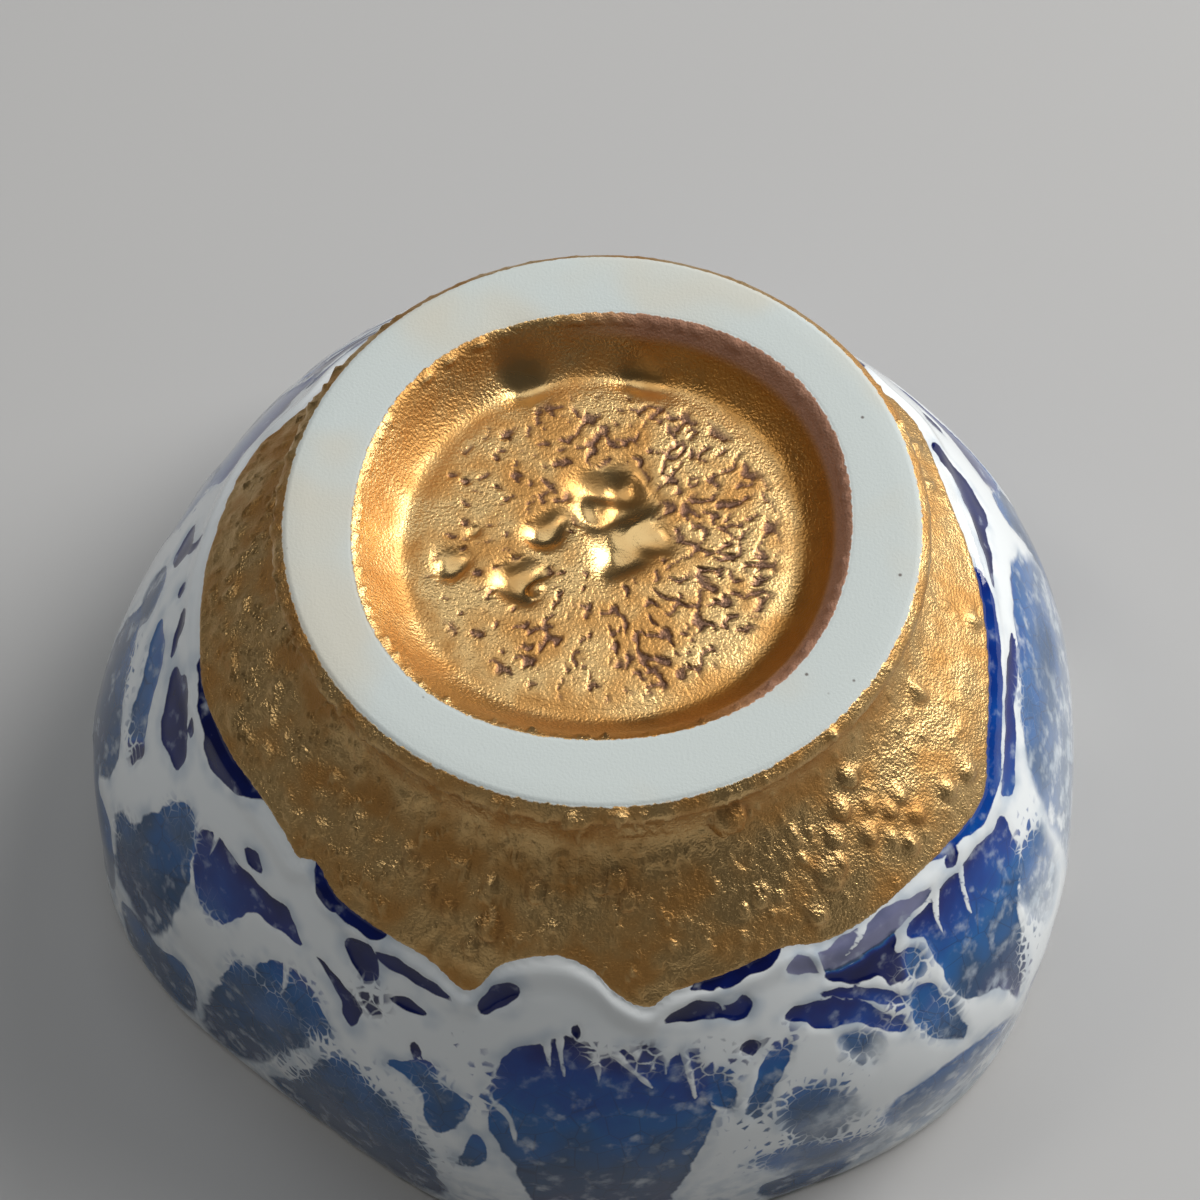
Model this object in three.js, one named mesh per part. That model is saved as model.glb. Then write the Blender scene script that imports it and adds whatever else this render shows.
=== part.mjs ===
// A small thrown porcelain sake cup, resting upside down on its rim with the foot ring up.
// The cup is one fired body: a hollow bowl, a flared and pinched wall, a turned waist and a
// foot ring round a shallow recess. Units are millimetres and +Z is up.

import * as THREE from 'three';
import { mergeVertices } from 'three/addons/utils/BufferGeometryUtils.js';

// Driving dimensions. A "drop" is a depth below the foot ring, the highest part of the cup.
const CUP_HEIGHT = 41;
const FOOT_RADIUS = 21;
const FOOT_BEVEL = { radius: 21.45, drop: 0.95 };
const FOOT_EDGE_ROUND = 0.25;
const RECESS_MOUTH_RADIUS = 16.6;
const RECESS_FLOOR_RADIUS = 13.2;
const RECESS_DEPTH = 3.3;
const RECESS_WALL_FOOT = { radius: 14.5, drop: 2.38 };
const RECESS_WALL_HEAD = { radius: 15.6, drop: 1.19 };
const FLOOR_DISH = 0.25;

// Stations of the outside, from the foot's undercut down to the rim
const UNDERCUT = { radius: 21.2, drop: 1.9 };
const WAIST = { radius: 20.45, drop: 4.6 };
const CONE_TOP = { radius: 21.7, drop: 7.8 };
const GOLD_EDGE = { radius: 28, drop: 13.8 };
const SHOULDER = { radius: 33.6, drop: 23 };
const BELLY = { radius: 36, drop: 30.5 };
const RIM_RADIUS = 36;

// The inside of the bowl and the lip between the two walls
const BOWL_DROP = 7;
const BOWL_WELL = { radius: 8.5, drop: 7.4 };
const BOWL_CURVE = { radius: 16.5, drop: 9.6 };
const BOWL_SHOULDER = { radius: 26.6, drop: 18.4 };
const BOWL_WALL = { radius: 32.6, drop: 30.5 };
const RIM_THICKNESS = 2.8;
const LIP_ROUND = 0.9;
const LIP_CORNER = 0.27;

// Glaze stands a little proud of the lustre along the edge between them
const GLAZE_STEP = 0.35;
const GLAZE_ROLL = 1.2;
const GLAZE_REACH = 8;

// Slow lobes that the maker's fingers left in the wall: swell is the height of a lobe, and
// facing is the direction of one of its crests in degrees, with 0 along +X
const WALL_LOBES = [
  { count: 1, swell: 1.65, facing: 102 },
  { count: 2, swell: 0.79, facing: -57 },
  { count: 3, swell: 0.39, facing: -45 },
  { count: 4, swell: 0.45, facing: 7 },
  { count: 5, swell: 0.73, facing: -35 },
  { count: 6, swell: 0.23, facing: 16 },
];
const RIM_LOBES = [
  { count: 2, swell: 0.63, facing: 57 },
  { count: 3, swell: 0.47, facing: -38 },
  { count: 4, swell: 0.51, facing: 27 },
  { count: 5, swell: 0.35, facing: -20 },
];
const RECESS_LOBES = [
  { count: 2, swell: 0.19, facing: 36 },
  { count: 4, swell: 0.26, facing: 43 },
];

// Soft hollows pressed in the recess, placed from the foot's centre
const FLOOR_HOLLOWS = [
  { x: 0.6, y: 3.4, radius: 4.2, depth: 0.7 },
  { x: 2, y: -0.8, radius: 3, depth: 0.4 },
  { x: -4.6, y: 0.8, radius: 2.4, depth: 0.4 },
  { x: -5.8, y: -2.9, radius: 2.8, depth: 0.5 },
  { x: -10.2, y: -1.6, radius: 2.2, depth: 0.3 },
  { x: -5.2, y: 12, radius: 2.6, depth: 0.6 },
  { x: 2.9, y: 11.7, radius: 2.4, depth: 0.6 },
];

// Fired drops of lustre on the turned waist: facing and drop place them, height is how far
// they stand out
const LUSTRE_DROPS = [
  { facing: -67, drop: 4.9, radius: 1.7, height: 1 },
  { facing: -94, drop: 1.2, radius: 0.9, height: 0.4 },
  { facing: -38, drop: 8.6, radius: 1.5, height: 0.45 },
  { facing: -58, drop: 9.8, radius: 1.6, height: 0.45 },
  { facing: -88, drop: 9.2, radius: 1.4, height: 0.4 },
];

// Facets of the turned surface
const AROUND = 96;
const FLOOR_RINGS = 11;
const OUTER_RINGS = 19;
const BOWL_RINGS = 9;

const { degToRad, smoothstep } = THREE.MathUtils;

function at(station) {
  return new THREE.Vector2(station.radius, station.drop);
}

// A profile point carries the skin it belongs to, which says how its surface is shaped
function skinned(points, skin) {
  return points.map((point) => ({ radius: point.x, drop: point.y, skin }));
}

function recessFloor() {
  const points = [];
  for (let ring = 0; ring <= FLOOR_RINGS; ring += 1) {
    const share = ring / FLOOR_RINGS;
    const dish = FLOOR_DISH * (1 - share * share);
    points.push(new THREE.Vector2(RECESS_FLOOR_RADIUS * share, RECESS_DEPTH - dish));
  }
  return skinned(points, 'recess');
}

function recessWall() {
  const points = [
    at(RECESS_WALL_FOOT),
    at(RECESS_WALL_HEAD),
    new THREE.Vector2(RECESS_MOUTH_RADIUS - FOOT_EDGE_ROUND, FOOT_EDGE_ROUND),
    new THREE.Vector2(RECESS_MOUTH_RADIUS, 0),
  ];
  return skinned(points, 'recess');
}

function footRing() {
  const points = [
    new THREE.Vector2(FOOT_RADIUS - FOOT_EDGE_ROUND, 0),
    new THREE.Vector2(FOOT_RADIUS, FOOT_EDGE_ROUND),
    at(FOOT_BEVEL),
  ];
  return skinned(points, 'foot');
}

function outerWall() {
  const rim = new THREE.Vector2(RIM_RADIUS, CUP_HEIGHT - LIP_ROUND);
  const curve = new THREE.SplineCurve([
    at(UNDERCUT),
    at(WAIST),
    at(CONE_TOP),
    at(GOLD_EDGE),
    at(SHOULDER),
    at(BELLY),
    rim,
  ]);
  return skinned(curve.getPoints(OUTER_RINGS), 'outside');
}

function lip() {
  const inner = RIM_RADIUS - RIM_THICKNESS;
  const points = [
    new THREE.Vector2(RIM_RADIUS - LIP_CORNER, CUP_HEIGHT - LIP_CORNER),
    new THREE.Vector2(RIM_RADIUS - LIP_ROUND, CUP_HEIGHT),
    new THREE.Vector2(inner + LIP_ROUND, CUP_HEIGHT),
    new THREE.Vector2(inner + LIP_CORNER, CUP_HEIGHT - LIP_CORNER),
  ];
  return skinned(points, 'wall');
}

function bowlInside() {
  const rim = new THREE.Vector2(RIM_RADIUS - RIM_THICKNESS, CUP_HEIGHT - LIP_ROUND);
  const centre = new THREE.Vector2(0, BOWL_DROP);
  const curve = new THREE.SplineCurve([
    rim,
    at(BOWL_WALL),
    at(BOWL_SHOULDER),
    at(BOWL_CURVE),
    at(BOWL_WELL),
    centre,
  ]);
  return skinned(curve.getPoints(BOWL_RINGS), 'wall');
}

function lobes(list, angle) {
  let swell = 0;
  for (const lobe of list) {
    swell += lobe.swell * Math.cos(lobe.count * (angle - degToRad(lobe.facing)));
  }
  return swell;
}

// How far the pinched wall stands out from the turned circle, the same inside and outside
function wallSwell(angle, drop) {
  const body = THREE.MathUtils.clamp((drop - CONE_TOP.drop) / (BELLY.drop - CONE_TOP.drop), 0, 1);
  const rim = THREE.MathUtils.clamp((drop - BELLY.drop) / (CUP_HEIGHT - BELLY.drop), 0, 1);
  return body * lobes(WALL_LOBES, angle) + rim * lobes(RIM_LOBES, angle);
}

// A smooth round hill, 1 in the middle and 0 from its radius outwards
function hill(distance, radius) {
  return 1 - smoothstep(distance, 0, radius);
}

function hollowDepth(x, y) {
  let depth = 0;
  for (const hollow of FLOOR_HOLLOWS) {
    depth += hollow.depth * hill(Math.hypot(x - hollow.x, y - hollow.y), hollow.radius);
  }
  return depth;
}

function dropHeight(angle, radius, drop) {
  let height = 0;
  for (const bead of LUSTRE_DROPS) {
    const turn = angle - degToRad(bead.facing);
    const along = radius * Math.atan2(Math.sin(turn), Math.cos(turn));
    height += bead.height * hill(Math.hypot(along, drop - bead.drop), bead.radius);
  }
  return height;
}

// The glaze rises in a soft step below the gold edge and thins out again down the wall
function glazeStep(drop) {
  const below = drop - GOLD_EDGE.drop;
  return GLAZE_STEP * smoothstep(below, 0, GLAZE_ROLL) * (1 - smoothstep(below, GLAZE_ROLL, GLAZE_REACH));
}

// The finished place of a turned point, pressed, beaded or pinched as its skin asks
function shaped(point, angle) {
  let { radius, drop } = point;
  if (point.skin === 'recess') {
    radius += lobes(RECESS_LOBES, angle) * (radius / RECESS_MOUTH_RADIUS) ** 4;
    drop += hollowDepth(radius * Math.cos(angle), radius * Math.sin(angle));
  } else if (point.skin === 'outside') {
    radius += dropHeight(angle, radius, drop) + glazeStep(drop);
  }
  radius += wallSwell(angle, point.drop);
  return new THREE.Vector3(radius * Math.cos(angle), radius * Math.sin(angle), CUP_HEIGHT - drop);
}

function cupGeometry() {
  const profile = [
    ...recessFloor(),
    ...recessWall(),
    ...footRing(),
    ...outerWall(),
    ...lip(),
    ...bowlInside(),
  ].reverse();
  const turned = profile.map((point) => new THREE.Vector2(point.radius, CUP_HEIGHT - point.drop));
  turned[0].x = 0;
  turned[turned.length - 1].x = 0;
  const lathe = new THREE.LatheGeometry(turned, AROUND);
  lathe.rotateX(Math.PI / 2);
  const places = lathe.attributes.position;
  for (let index = 0; index < places.count; index += 1) {
    const point = profile[index % profile.length];
    const column = Math.floor(index / profile.length) % AROUND;
    const place = shaped(point, (column / AROUND) * 2 * Math.PI - Math.PI / 2);
    places.setXYZ(index, place.x, place.y, place.z);
  }
  lathe.deleteAttribute('normal');
  lathe.deleteAttribute('uv');
  const geometry = mergeVertices(lathe);
  geometry.computeBoundingBox();
  const middle = geometry.boundingBox.getCenter(new THREE.Vector3());
  geometry.translate(-middle.x, -middle.y, -geometry.boundingBox.min.z);
  geometry.computeVertexNormals();
  return geometry;
}

const porcelain = new THREE.MeshStandardMaterial({ color: 0xdfe6ec, roughness: 0.18, metalness: 0 });
const cup = new THREE.Mesh(cupGeometry(), porcelain);
cup.name = 'sake_cup';

const group = new THREE.Group();
group.add(cup);

export default group;
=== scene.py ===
"""Looks of a small thrown porcelain sake cup that rests upside down on its rim.

The cup is one fired body. Its finishes are a marbled glaze, white laced over cobalt, a gold
lustre over the foot zone and a bare foot ring. The form repeats the solid's sizes, in
millimetres, and carries the finer relief of the lustre and of the glaze as mesh.
"""

import logging
import math
from collections.abc import Iterator
from dataclasses import dataclass
from enum import Enum

import bmesh
import bpy
import numpy as np
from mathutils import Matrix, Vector


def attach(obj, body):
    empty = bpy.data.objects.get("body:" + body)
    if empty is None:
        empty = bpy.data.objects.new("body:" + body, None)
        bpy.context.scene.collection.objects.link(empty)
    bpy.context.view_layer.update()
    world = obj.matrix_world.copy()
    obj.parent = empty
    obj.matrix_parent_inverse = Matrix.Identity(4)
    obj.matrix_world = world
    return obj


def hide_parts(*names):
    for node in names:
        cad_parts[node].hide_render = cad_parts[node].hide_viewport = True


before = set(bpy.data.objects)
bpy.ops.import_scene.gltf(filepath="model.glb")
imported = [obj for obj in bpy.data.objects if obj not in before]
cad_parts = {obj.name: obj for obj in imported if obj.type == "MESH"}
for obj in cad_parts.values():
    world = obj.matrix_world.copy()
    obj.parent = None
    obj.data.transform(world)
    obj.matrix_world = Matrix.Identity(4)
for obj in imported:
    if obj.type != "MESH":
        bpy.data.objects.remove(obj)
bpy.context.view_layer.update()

LOG = logging.getLogger("sake_cup")
MM = 0.001
TINY = 1e-9
NODE = "sake_cup"
BODY = "root"

Socket = bpy.types.NodeSocket
Point = tuple[float, float]
Colour = tuple[float, float, float, float]
Stop = tuple[float, tuple[float, float, float]]


def curve_through(points: list[Point], steps: int, closed: bool = False) -> np.ndarray:
    """Draws a smooth curve through a few points.

    Args:
        points: The points that the curve passes.
        steps: How many short lines stand for the curve between two points.
        closed: True where the curve runs back to its first point.

    Returns:
        The curve's points, one in each row.
    """
    knots = np.array(points, float)
    count = len(knots)
    spans = count if closed else count - 1
    place = np.arange(spans * steps + 1) / steps
    start = np.minimum(place.astype(int), spans - 1)
    share = (place - start)[:, None]

    def knot(offset: int) -> np.ndarray:
        """Gives the knot that lies so many places after each start."""
        index = start + offset
        return knots[index % count] if closed else knots[np.clip(index, 0, count - 1)]

    before, here, after, beyond = knot(-1), knot(0), knot(1), knot(2)
    leaving = (after - before) / 2
    arriving = (beyond - here) / 2
    cubic = 2 * here - 2 * after + leaving + arriving
    square = 3 * after - 3 * here - 2 * leaving - arriving
    return ((cubic * share + square) * share + leaving) * share + here


def spaced(line: np.ndarray, gap: float) -> np.ndarray:
    """Sets points at equal gaps along a line.

    Args:
        line: The line's points, one in each row.
        gap: The wished distance between two points.

    Returns:
        The new points, with both ends kept.
    """
    steps = np.hypot(*np.diff(line, axis=0).T)
    length = np.concatenate([[0], np.cumsum(steps)])
    count = max(2, round(length[-1] / gap) + 1)
    wanted = np.linspace(0, length[-1], count)
    return np.stack([np.interp(wanted, length, line[:, axis]) for axis in (0, 1)], axis=1)


def parted(line: np.ndarray, axis: int, place: float) -> tuple[np.ndarray, np.ndarray]:
    """Parts a line at a place on one axis, with the last point before it in both parts.

    Args:
        line: The line's points, one in each row, in rising order on that axis.
        axis: The axis, 0 or 1.
        place: Where the line is parted.

    Returns:
        The line's first part and its second.
    """
    count = int((line[:, axis] <= place).sum())
    return line[:count], line[count - 1:]


def rise(value: np.ndarray, low: float, high: float) -> np.ndarray:
    """Climbs softly from 0 at low to 1 at high."""
    share = np.clip((value - low) / (high - low), 0, 1)
    return share * share * (3 - 2 * share)


class Skin(Enum):
    """The stretches of the cup's surface, along its profile."""

    RECESS = 0
    FOOT = 1
    OUTSIDE = 2
    INSIDE = 3


@dataclass(frozen=True)
class Lobe:
    """A slow wave round the wall, as fingers leave it.

    Attributes:
        count: Crests in one turn.
        swell: Height of a crest in millimetres.
        facing: Direction of one crest in degrees.
    """

    count: int
    swell: float
    facing: float


@dataclass(frozen=True)
class Hollow:
    """A soft dent pressed in the recess, placed from the foot's centre in millimetres.

    A depth below zero makes a lump.
    """

    x: float
    y: float
    radius: float
    depth: float


@dataclass(frozen=True)
class Bead:
    """A fired drop of lustre: its direction in degrees, drop, radius and height in millimetres."""

    facing: float
    drop: float
    radius: float
    height: float


@dataclass
class Surface:
    """The cup's surface points and what is known at each of them.

    Attributes:
        places: Position of each point in millimetres.
        turn: Direction of each point in degrees, from -180 to 180.
        along: Distance along the profile in millimetres, from the recess centre.
        radius: Turned radius of each point in millimetres.
        drop: Depth of each point below the foot ring in millimetres.
        skin: The value of the point's skin.
        rings: First point of each ring and how many points it has.
    """

    places: np.ndarray
    turn: np.ndarray
    along: np.ndarray
    radius: np.ndarray
    drop: np.ndarray
    skin: np.ndarray
    rings: list[tuple[int, int]]

    def on(self, skin: Skin) -> np.ndarray:
        """Marks the points of a skin."""
        return self.skin == skin.value

    def facing(self, turn: float) -> np.ndarray:
        """Tells how far points face a direction, from 1 towards it to -1 away from it."""
        return np.cos(np.radians(self.turn - turn))

    def length_at(self, drop: np.ndarray) -> np.ndarray:
        """Turns drops on the outside into distances along the profile."""
        outside = self.on(Skin.OUTSIDE)
        drops, first = np.unique(self.drop[outside], return_index=True)
        return np.interp(drop, drops, self.along[outside][first])


@dataclass
class CupForm:
    """The cup's turned and pinched form, from its driving sizes in millimetres.

    A drop is a depth below the foot ring. A point of a profile is a radius and a drop.

    Attributes:
        height: Height from the rim to the foot ring.
        front: Direction in degrees towards which the points of a ring crowd.
        crowding: How strongly they crowd.
        columns: Points of the finest rings.
        floor_gap: Distance between two rings of the recess floor, as the other gaps are elsewhere.
        floor_ends: Radii at which the floor's rings get more points, and at which the floor ends.
        band_end: Drop at which the fine rings of the lustre band end.
        glaze_end: Drop at which the fine rings of the glaze end.
        cone_drop: Drop at which the pinched wall starts.
        belly_drop: Drop of the widest part.
        recess_mouth: Radius of the recess at the foot ring.
        recess: Profile of the recess, as the other profiles are of the ring, bevel, wall, lip and bowl.
        wall_lobes: Waves of the wall, as the other lobes are of the rim and the recess.
        hollows: Dents and lumps of the recess.
        hollow_flat: Share of a hollow's radius that is flat.
        hollow_run: How far the edges of the hollows run.
        beads: Large drops of lustre.
        bead_start: Drop at which the beads start on the bevel.
        bead_squash: How much shorter a bead is down the slope than across it.
    """

    height: float = 41.0
    front: float = -90.0
    crowding: float = -0.35
    columns: int = 512
    floor_gap: float = 0.2
    recess_gap: float = 0.28
    band_gap: float = 0.27
    glaze_gap: float = 0.34
    wall_gap: float = 1.1
    bowl_gap: float = 1.9
    ring_gap: float = 1.2
    lip_gap: float = 0.6
    floor_ends: tuple[float, float, float] = (2.1, 6.4, 12.4)
    band_end: float = 12.0
    glaze_end: float = 24.0
    cone_drop: float = 7.8
    belly_drop: float = 30.5
    recess_mouth: float = 16.6
    recess: tuple[Point, ...] = (
        (0, 3.05), (6, 3.08), (11.4, 3.22), (12.9, 3.42), (13.7, 3.2), (14.8, 2.15),
        (15.7, 0.95), (16.25, 0.3), (16.6, 0.02), (16.9, 0),
    )
    ring: tuple[Point, ...] = ((16.9, 0), (20.6, 0))
    bevel: tuple[Point, ...] = (
        (20.6, 0), (20.88, 0.05), (21.08, 0.25), (21.45, 0.6), (21.66, 1), (21.55, 1.45), (21.2, 1.9),
    )
    outside: tuple[Point, ...] = (
        (21.2, 1.9), (20.45, 4.6), (21.7, 7.8), (28, 13.8), (33.6, 23), (36, 30.5), (36, 40.1),
    )
    lip: tuple[Point, ...] = (
        (36, 40.1), (35.7, 40.75), (35.1, 41), (34.1, 41), (33.5, 40.75), (33.2, 40.1),
    )
    bowl: tuple[Point, ...] = (
        (33.2, 40.1), (32.6, 30.5), (26.6, 18.4), (16.5, 9.6), (8.5, 7.4), (0, 7),
    )
    wall_lobes: tuple[Lobe, ...] = (
        Lobe(1, 1.65, 102), Lobe(2, 0.79, -57), Lobe(3, 0.39, -45),
        Lobe(4, 0.45, 7), Lobe(5, 0.73, -35), Lobe(6, 0.23, 16),
    )
    rim_lobes: tuple[Lobe, ...] = (
        Lobe(2, 0.63, 57), Lobe(3, 0.47, -38), Lobe(4, 0.51, 27), Lobe(5, 0.35, -20),
    )
    recess_lobes: tuple[Lobe, ...] = (Lobe(2, 0.19, 36), Lobe(4, 0.26, 43))
    hollows: tuple[Hollow, ...] = (
        Hollow(0.7, 3.3, 3.9, 0.8), Hollow(1.6, 4.2, 1.6, 0.25), Hollow(-0.4, 2.9, 1.4, -0.3),
        Hollow(1.2, -0.9, 2.7, 0.55), Hollow(3.6, 0.3, 1.9, 0.4), Hollow(-3.6, 0.9, 2.1, 0.55),
        Hollow(-5.4, -2.8, 2.5, 0.6), Hollow(-4.2, -3.3, 0.8, -0.5), Hollow(-10.1, -1.4, 1.9, 0.4),
        Hollow(-8.3, 0.9, 0.8, 0.22), Hollow(-5.3, 13.1, 3.3, 0.3), Hollow(2.9, 12.9, 2.8, 0.3),
    )
    hollow_flat: float = 0.2
    hollow_run: float = 0.22
    beads: tuple[Bead, ...] = tuple(Bead(*sizes) for sizes in (
        (-67, 5.6, 1.3, 1.1), (-94.5, 1.2, 0.9, 0.45), (-54, 11.1, 0.95, 0.5), (-52, 10.9, 0.6, 0.45),
        (-87.8, 8.3, 0.75, 0.5), (-85.8, 9.3, 0.6, 0.4), (-42.8, 8, 0.75, 0.5),
        (-47.2, 8.9, 0.7, 0.45), (-50.3, 9.8, 0.65, 0.35), (-45.2, 10.7, 0.6, 0.4),
        (-42.5, 9.7, 0.5, 0.35), (-40, 10.6, 0.5, 0.35), (-37, 11.7, 0.6, 0.4),
        (-37.5, 10.4, 0.55, 0.4), (-30.5, 12.4, 0.7, 0.4), (-26, 13, 0.7, 0.4),
        (-40.8, 12.7, 0.55, 0.35), (-58.2, 12.6, 0.65, 0.4), (-65.5, 10.7, 0.5, 0.3),
        (-100.8, 9.1, 0.65, 0.45), (-106.8, 11.2, 0.75, 0.5), (-90, 8.6, 0.5, 0.35),
        (-108.8, 12.4, 0.55, 0.35), (-117.3, 10.7, 0.5, 0.3), (-113.5, 11, 0.5, 0.3),
        (-121.5, 9.9, 0.6, 0.35),
    ))
    bead_start: float = 0.2
    bead_squash: float = 1.15

    def profile(self) -> list[tuple[np.ndarray, Skin, int]]:
        """Lays out the profile from the recess centre to the bowl's centre.

        Returns:
            For each stretch its points, its skin and how many points each of its rings has.
        """
        floor = curve_through(list(self.recess), 30)
        inner, rest = parted(floor, 0, self.floor_ends[0])
        middle, rest = parted(rest, 0, self.floor_ends[1])
        outer, recess_wall = parted(rest, 0, self.floor_ends[2])
        wall = curve_through(list(self.outside), 60)
        band, rest = parted(wall, 1, self.band_end)
        glaze, skirt = parted(rest, 1, self.glaze_end)
        bevel = curve_through(list(self.bevel), 8)
        lip = curve_through(list(self.lip), 6)
        bowl = curve_through(list(self.bowl), 20)
        full, half, quarter = self.columns, self.columns // 2, self.columns // 4
        stretches = (
            (inner, self.floor_gap, Skin.RECESS, quarter),
            (middle, self.floor_gap, Skin.RECESS, half),
            (outer, self.floor_gap, Skin.RECESS, full),
            (recess_wall, self.recess_gap, Skin.RECESS, full),
            (np.array(self.ring), self.ring_gap, Skin.FOOT, full),
            (bevel, self.band_gap, Skin.FOOT, full),
            (band, self.band_gap, Skin.OUTSIDE, full),
            (glaze, self.glaze_gap, Skin.OUTSIDE, full),
            (skirt, self.wall_gap, Skin.OUTSIDE, full),
            (lip, self.lip_gap, Skin.INSIDE, half),
            (bowl, self.bowl_gap, Skin.INSIDE, quarter),
        )
        return [(spaced(line, gap), skin, count) for line, gap, skin, count in stretches]

    def lobed(self, lobes: tuple[Lobe, ...], turn: np.ndarray) -> np.ndarray:
        """Adds up slow waves at the given directions in degrees."""
        return sum(lobe.swell * np.cos(np.radians(lobe.count * (turn - lobe.facing))) for lobe in lobes)

    def swell(self, turn: np.ndarray, drop: np.ndarray) -> np.ndarray:
        """Tells how far the pinched wall stands out from the turned circle.

        Args:
            turn: Directions in degrees.
            drop: Depths below the foot ring.

        Returns:
            The extra radius at each point.
        """
        body = np.clip((drop - self.cone_drop) / (self.belly_drop - self.cone_drop), 0, 1)
        rim = np.clip((drop - self.belly_drop) / (self.height - self.belly_drop), 0, 1)
        return body * self.lobed(self.wall_lobes, turn) + rim * self.lobed(self.rim_lobes, turn)

    def directions(self, count: int) -> np.ndarray:
        """Gives the directions of a ring's points, which crowd towards the front."""
        phase = 2 * np.pi * np.arange(count) / count - np.pi
        turn = self.front + np.degrees(phase + self.crowding * np.sin(phase))
        return (turn + 180) % 360 - 180

    def surface(self) -> Surface:
        """Turns the profile, pinches the wall and presses the hollows.

        Returns:
            The surface points, ring after ring, with one point alone at each pole.
        """
        parts: list[tuple[np.ndarray, ...]] = []
        rings: list[tuple[int, int]] = []
        total = 0
        travelled = 0.0
        last = None
        for stretch, skin, count in self.profile():
            for radius, drop in stretch:
                if last is not None:
                    gap = math.hypot(radius - last[0], drop - last[1])
                    if gap < TINY:
                        continue
                    travelled += gap
                last = (radius, drop)
                size = 1 if radius < TINY else count
                turn = self.directions(size)
                whole = np.ones(size)
                parts.append((turn, whole * travelled, whole * radius, whole * drop, whole * skin.value))
                rings.append((total, size))
                total += size
        turn, along, radius, drop, skin = (np.concatenate(column) for column in zip(*parts))
        places = self.shaped(turn, radius, drop, skin)
        return Surface(places, turn, along, radius, drop, skin, rings)

    def shaped(
        self, turn: np.ndarray, radius: np.ndarray, drop: np.ndarray, skin: np.ndarray,
    ) -> np.ndarray:
        """Finds where turned points end up, with the box's middle over the origin.

        Args:
            turn: Directions in degrees.
            radius: Turned radii.
            drop: Depths below the foot ring.
            skin: Values of the points' skins.

        Returns:
            Positions in millimetres, one in each row.
        """
        angle = np.radians(turn)
        in_recess = skin == Skin.RECESS.value
        lobing = self.lobed(self.recess_lobes, turn) * (radius / self.recess_mouth) ** 4
        wide = radius + np.where(in_recess, lobing, 0) + self.swell(turn, drop)
        deep = drop + np.where(in_recess, self.pressed(wide * np.cos(angle), wide * np.sin(angle)), 0)
        on_bevel = (skin == Skin.FOOT.value) & (drop > self.bead_start)
        below_ring = (skin == Skin.OUTSIDE.value) | on_bevel
        wide = wide + np.where(below_ring, self.beaded(turn, radius, drop), 0)
        places = np.stack([wide * np.cos(angle), wide * np.sin(angle), self.height - deep], axis=1)
        middle = (places[:, :2].min(axis=0) + places[:, :2].max(axis=0)) / 2
        places[:, :2] -= middle
        return places

    def pressed(self, x: np.ndarray, y: np.ndarray) -> np.ndarray:
        """Adds up the depth of the hollows at points of the recess, with edges that run a little."""
        run_x = x + self.hollow_run * np.sin(1.5 * y + 0.4)
        run_y = y + self.hollow_run * np.sin(1.3 * x + 1.7)
        depth = np.zeros_like(x)
        for hollow in self.hollows:
            away = np.hypot(run_x - hollow.x, run_y - hollow.y)
            depth += hollow.depth * (1 - rise(away / hollow.radius, self.hollow_flat, 1))
        return depth

    def beaded(self, turn: np.ndarray, radius: np.ndarray, drop: np.ndarray) -> np.ndarray:
        """Raises the large lustre beads as domes at points of the outside."""
        height = np.zeros_like(turn)
        for bead, away in self.bead_gaps(turn, radius, drop):
            height = np.maximum(height, bead.height * np.sqrt(np.clip(1 - away ** 2, 0, 1)))
        return height

    def bead_gaps(
        self, turn: np.ndarray, radius: np.ndarray, drop: np.ndarray,
    ) -> Iterator[tuple[Bead, np.ndarray]]:
        """Gives each bead with the points' distances from its middle, in its own radii."""
        for bead in self.beads:
            sideways = radius * np.radians((turn - bead.facing + 180) % 360 - 180)
            yield bead, np.hypot(sideways, self.bead_squash * (drop - bead.drop)) / bead.radius


class PoolDepth(Enum):
    """How deep a pool of cobalt looks: its tones at the top and the foot, its mist and its spread.

    Tone runs from 0, navy, through cobalt, azure and slate, darkened partly as painted shade, to 1,
    lavender, which also paints the sky's reflection. The spread is in millimetres.
    """

    INK = (0.0, 0.1, 0.0, 0.05)
    DEEP = (0.02, 0.42, 0.08, 0.12)
    WINDOW = (0.0, 0.95, 0.25, 0.12)
    TEAL = (0.42, 0.68, 0.2, 0.2)
    # pools on the shaded left side: their slate tone is partly the glaze's own and partly painted shade
    SHADED_SLATE = (0.58, 0.78, 0.38, 0.3)
    MIST = (0.5, 0.74, 0.9, 0.2)
    # a painted reflection of the lavender sky, laid as a pool on the glaze
    PAINTED_SKY_REFLECTION = (0.98, 1.0, 0.0, 0.0)


@dataclass(frozen=True)
class GlazePool:
    """A pool where the cobalt shows through the white lacing.

    Attributes:
        depth: How deep it looks.
        outline: Points that its edge passes, as direction in degrees and drop in millimetres.
    """

    depth: PoolDepth
    outline: tuple[Point, ...]


@dataclass(frozen=True)
class Tendril:
    """A thread of white that runs down into a pool, with half its width in millimetres."""

    half_width: float
    path: tuple[Point, ...]


@dataclass(frozen=True)
class Froth:
    """A patch of burst bubbles: its direction in degrees, and its drop and radius in millimetres."""

    facing: float
    drop: float
    radius: float


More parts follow.
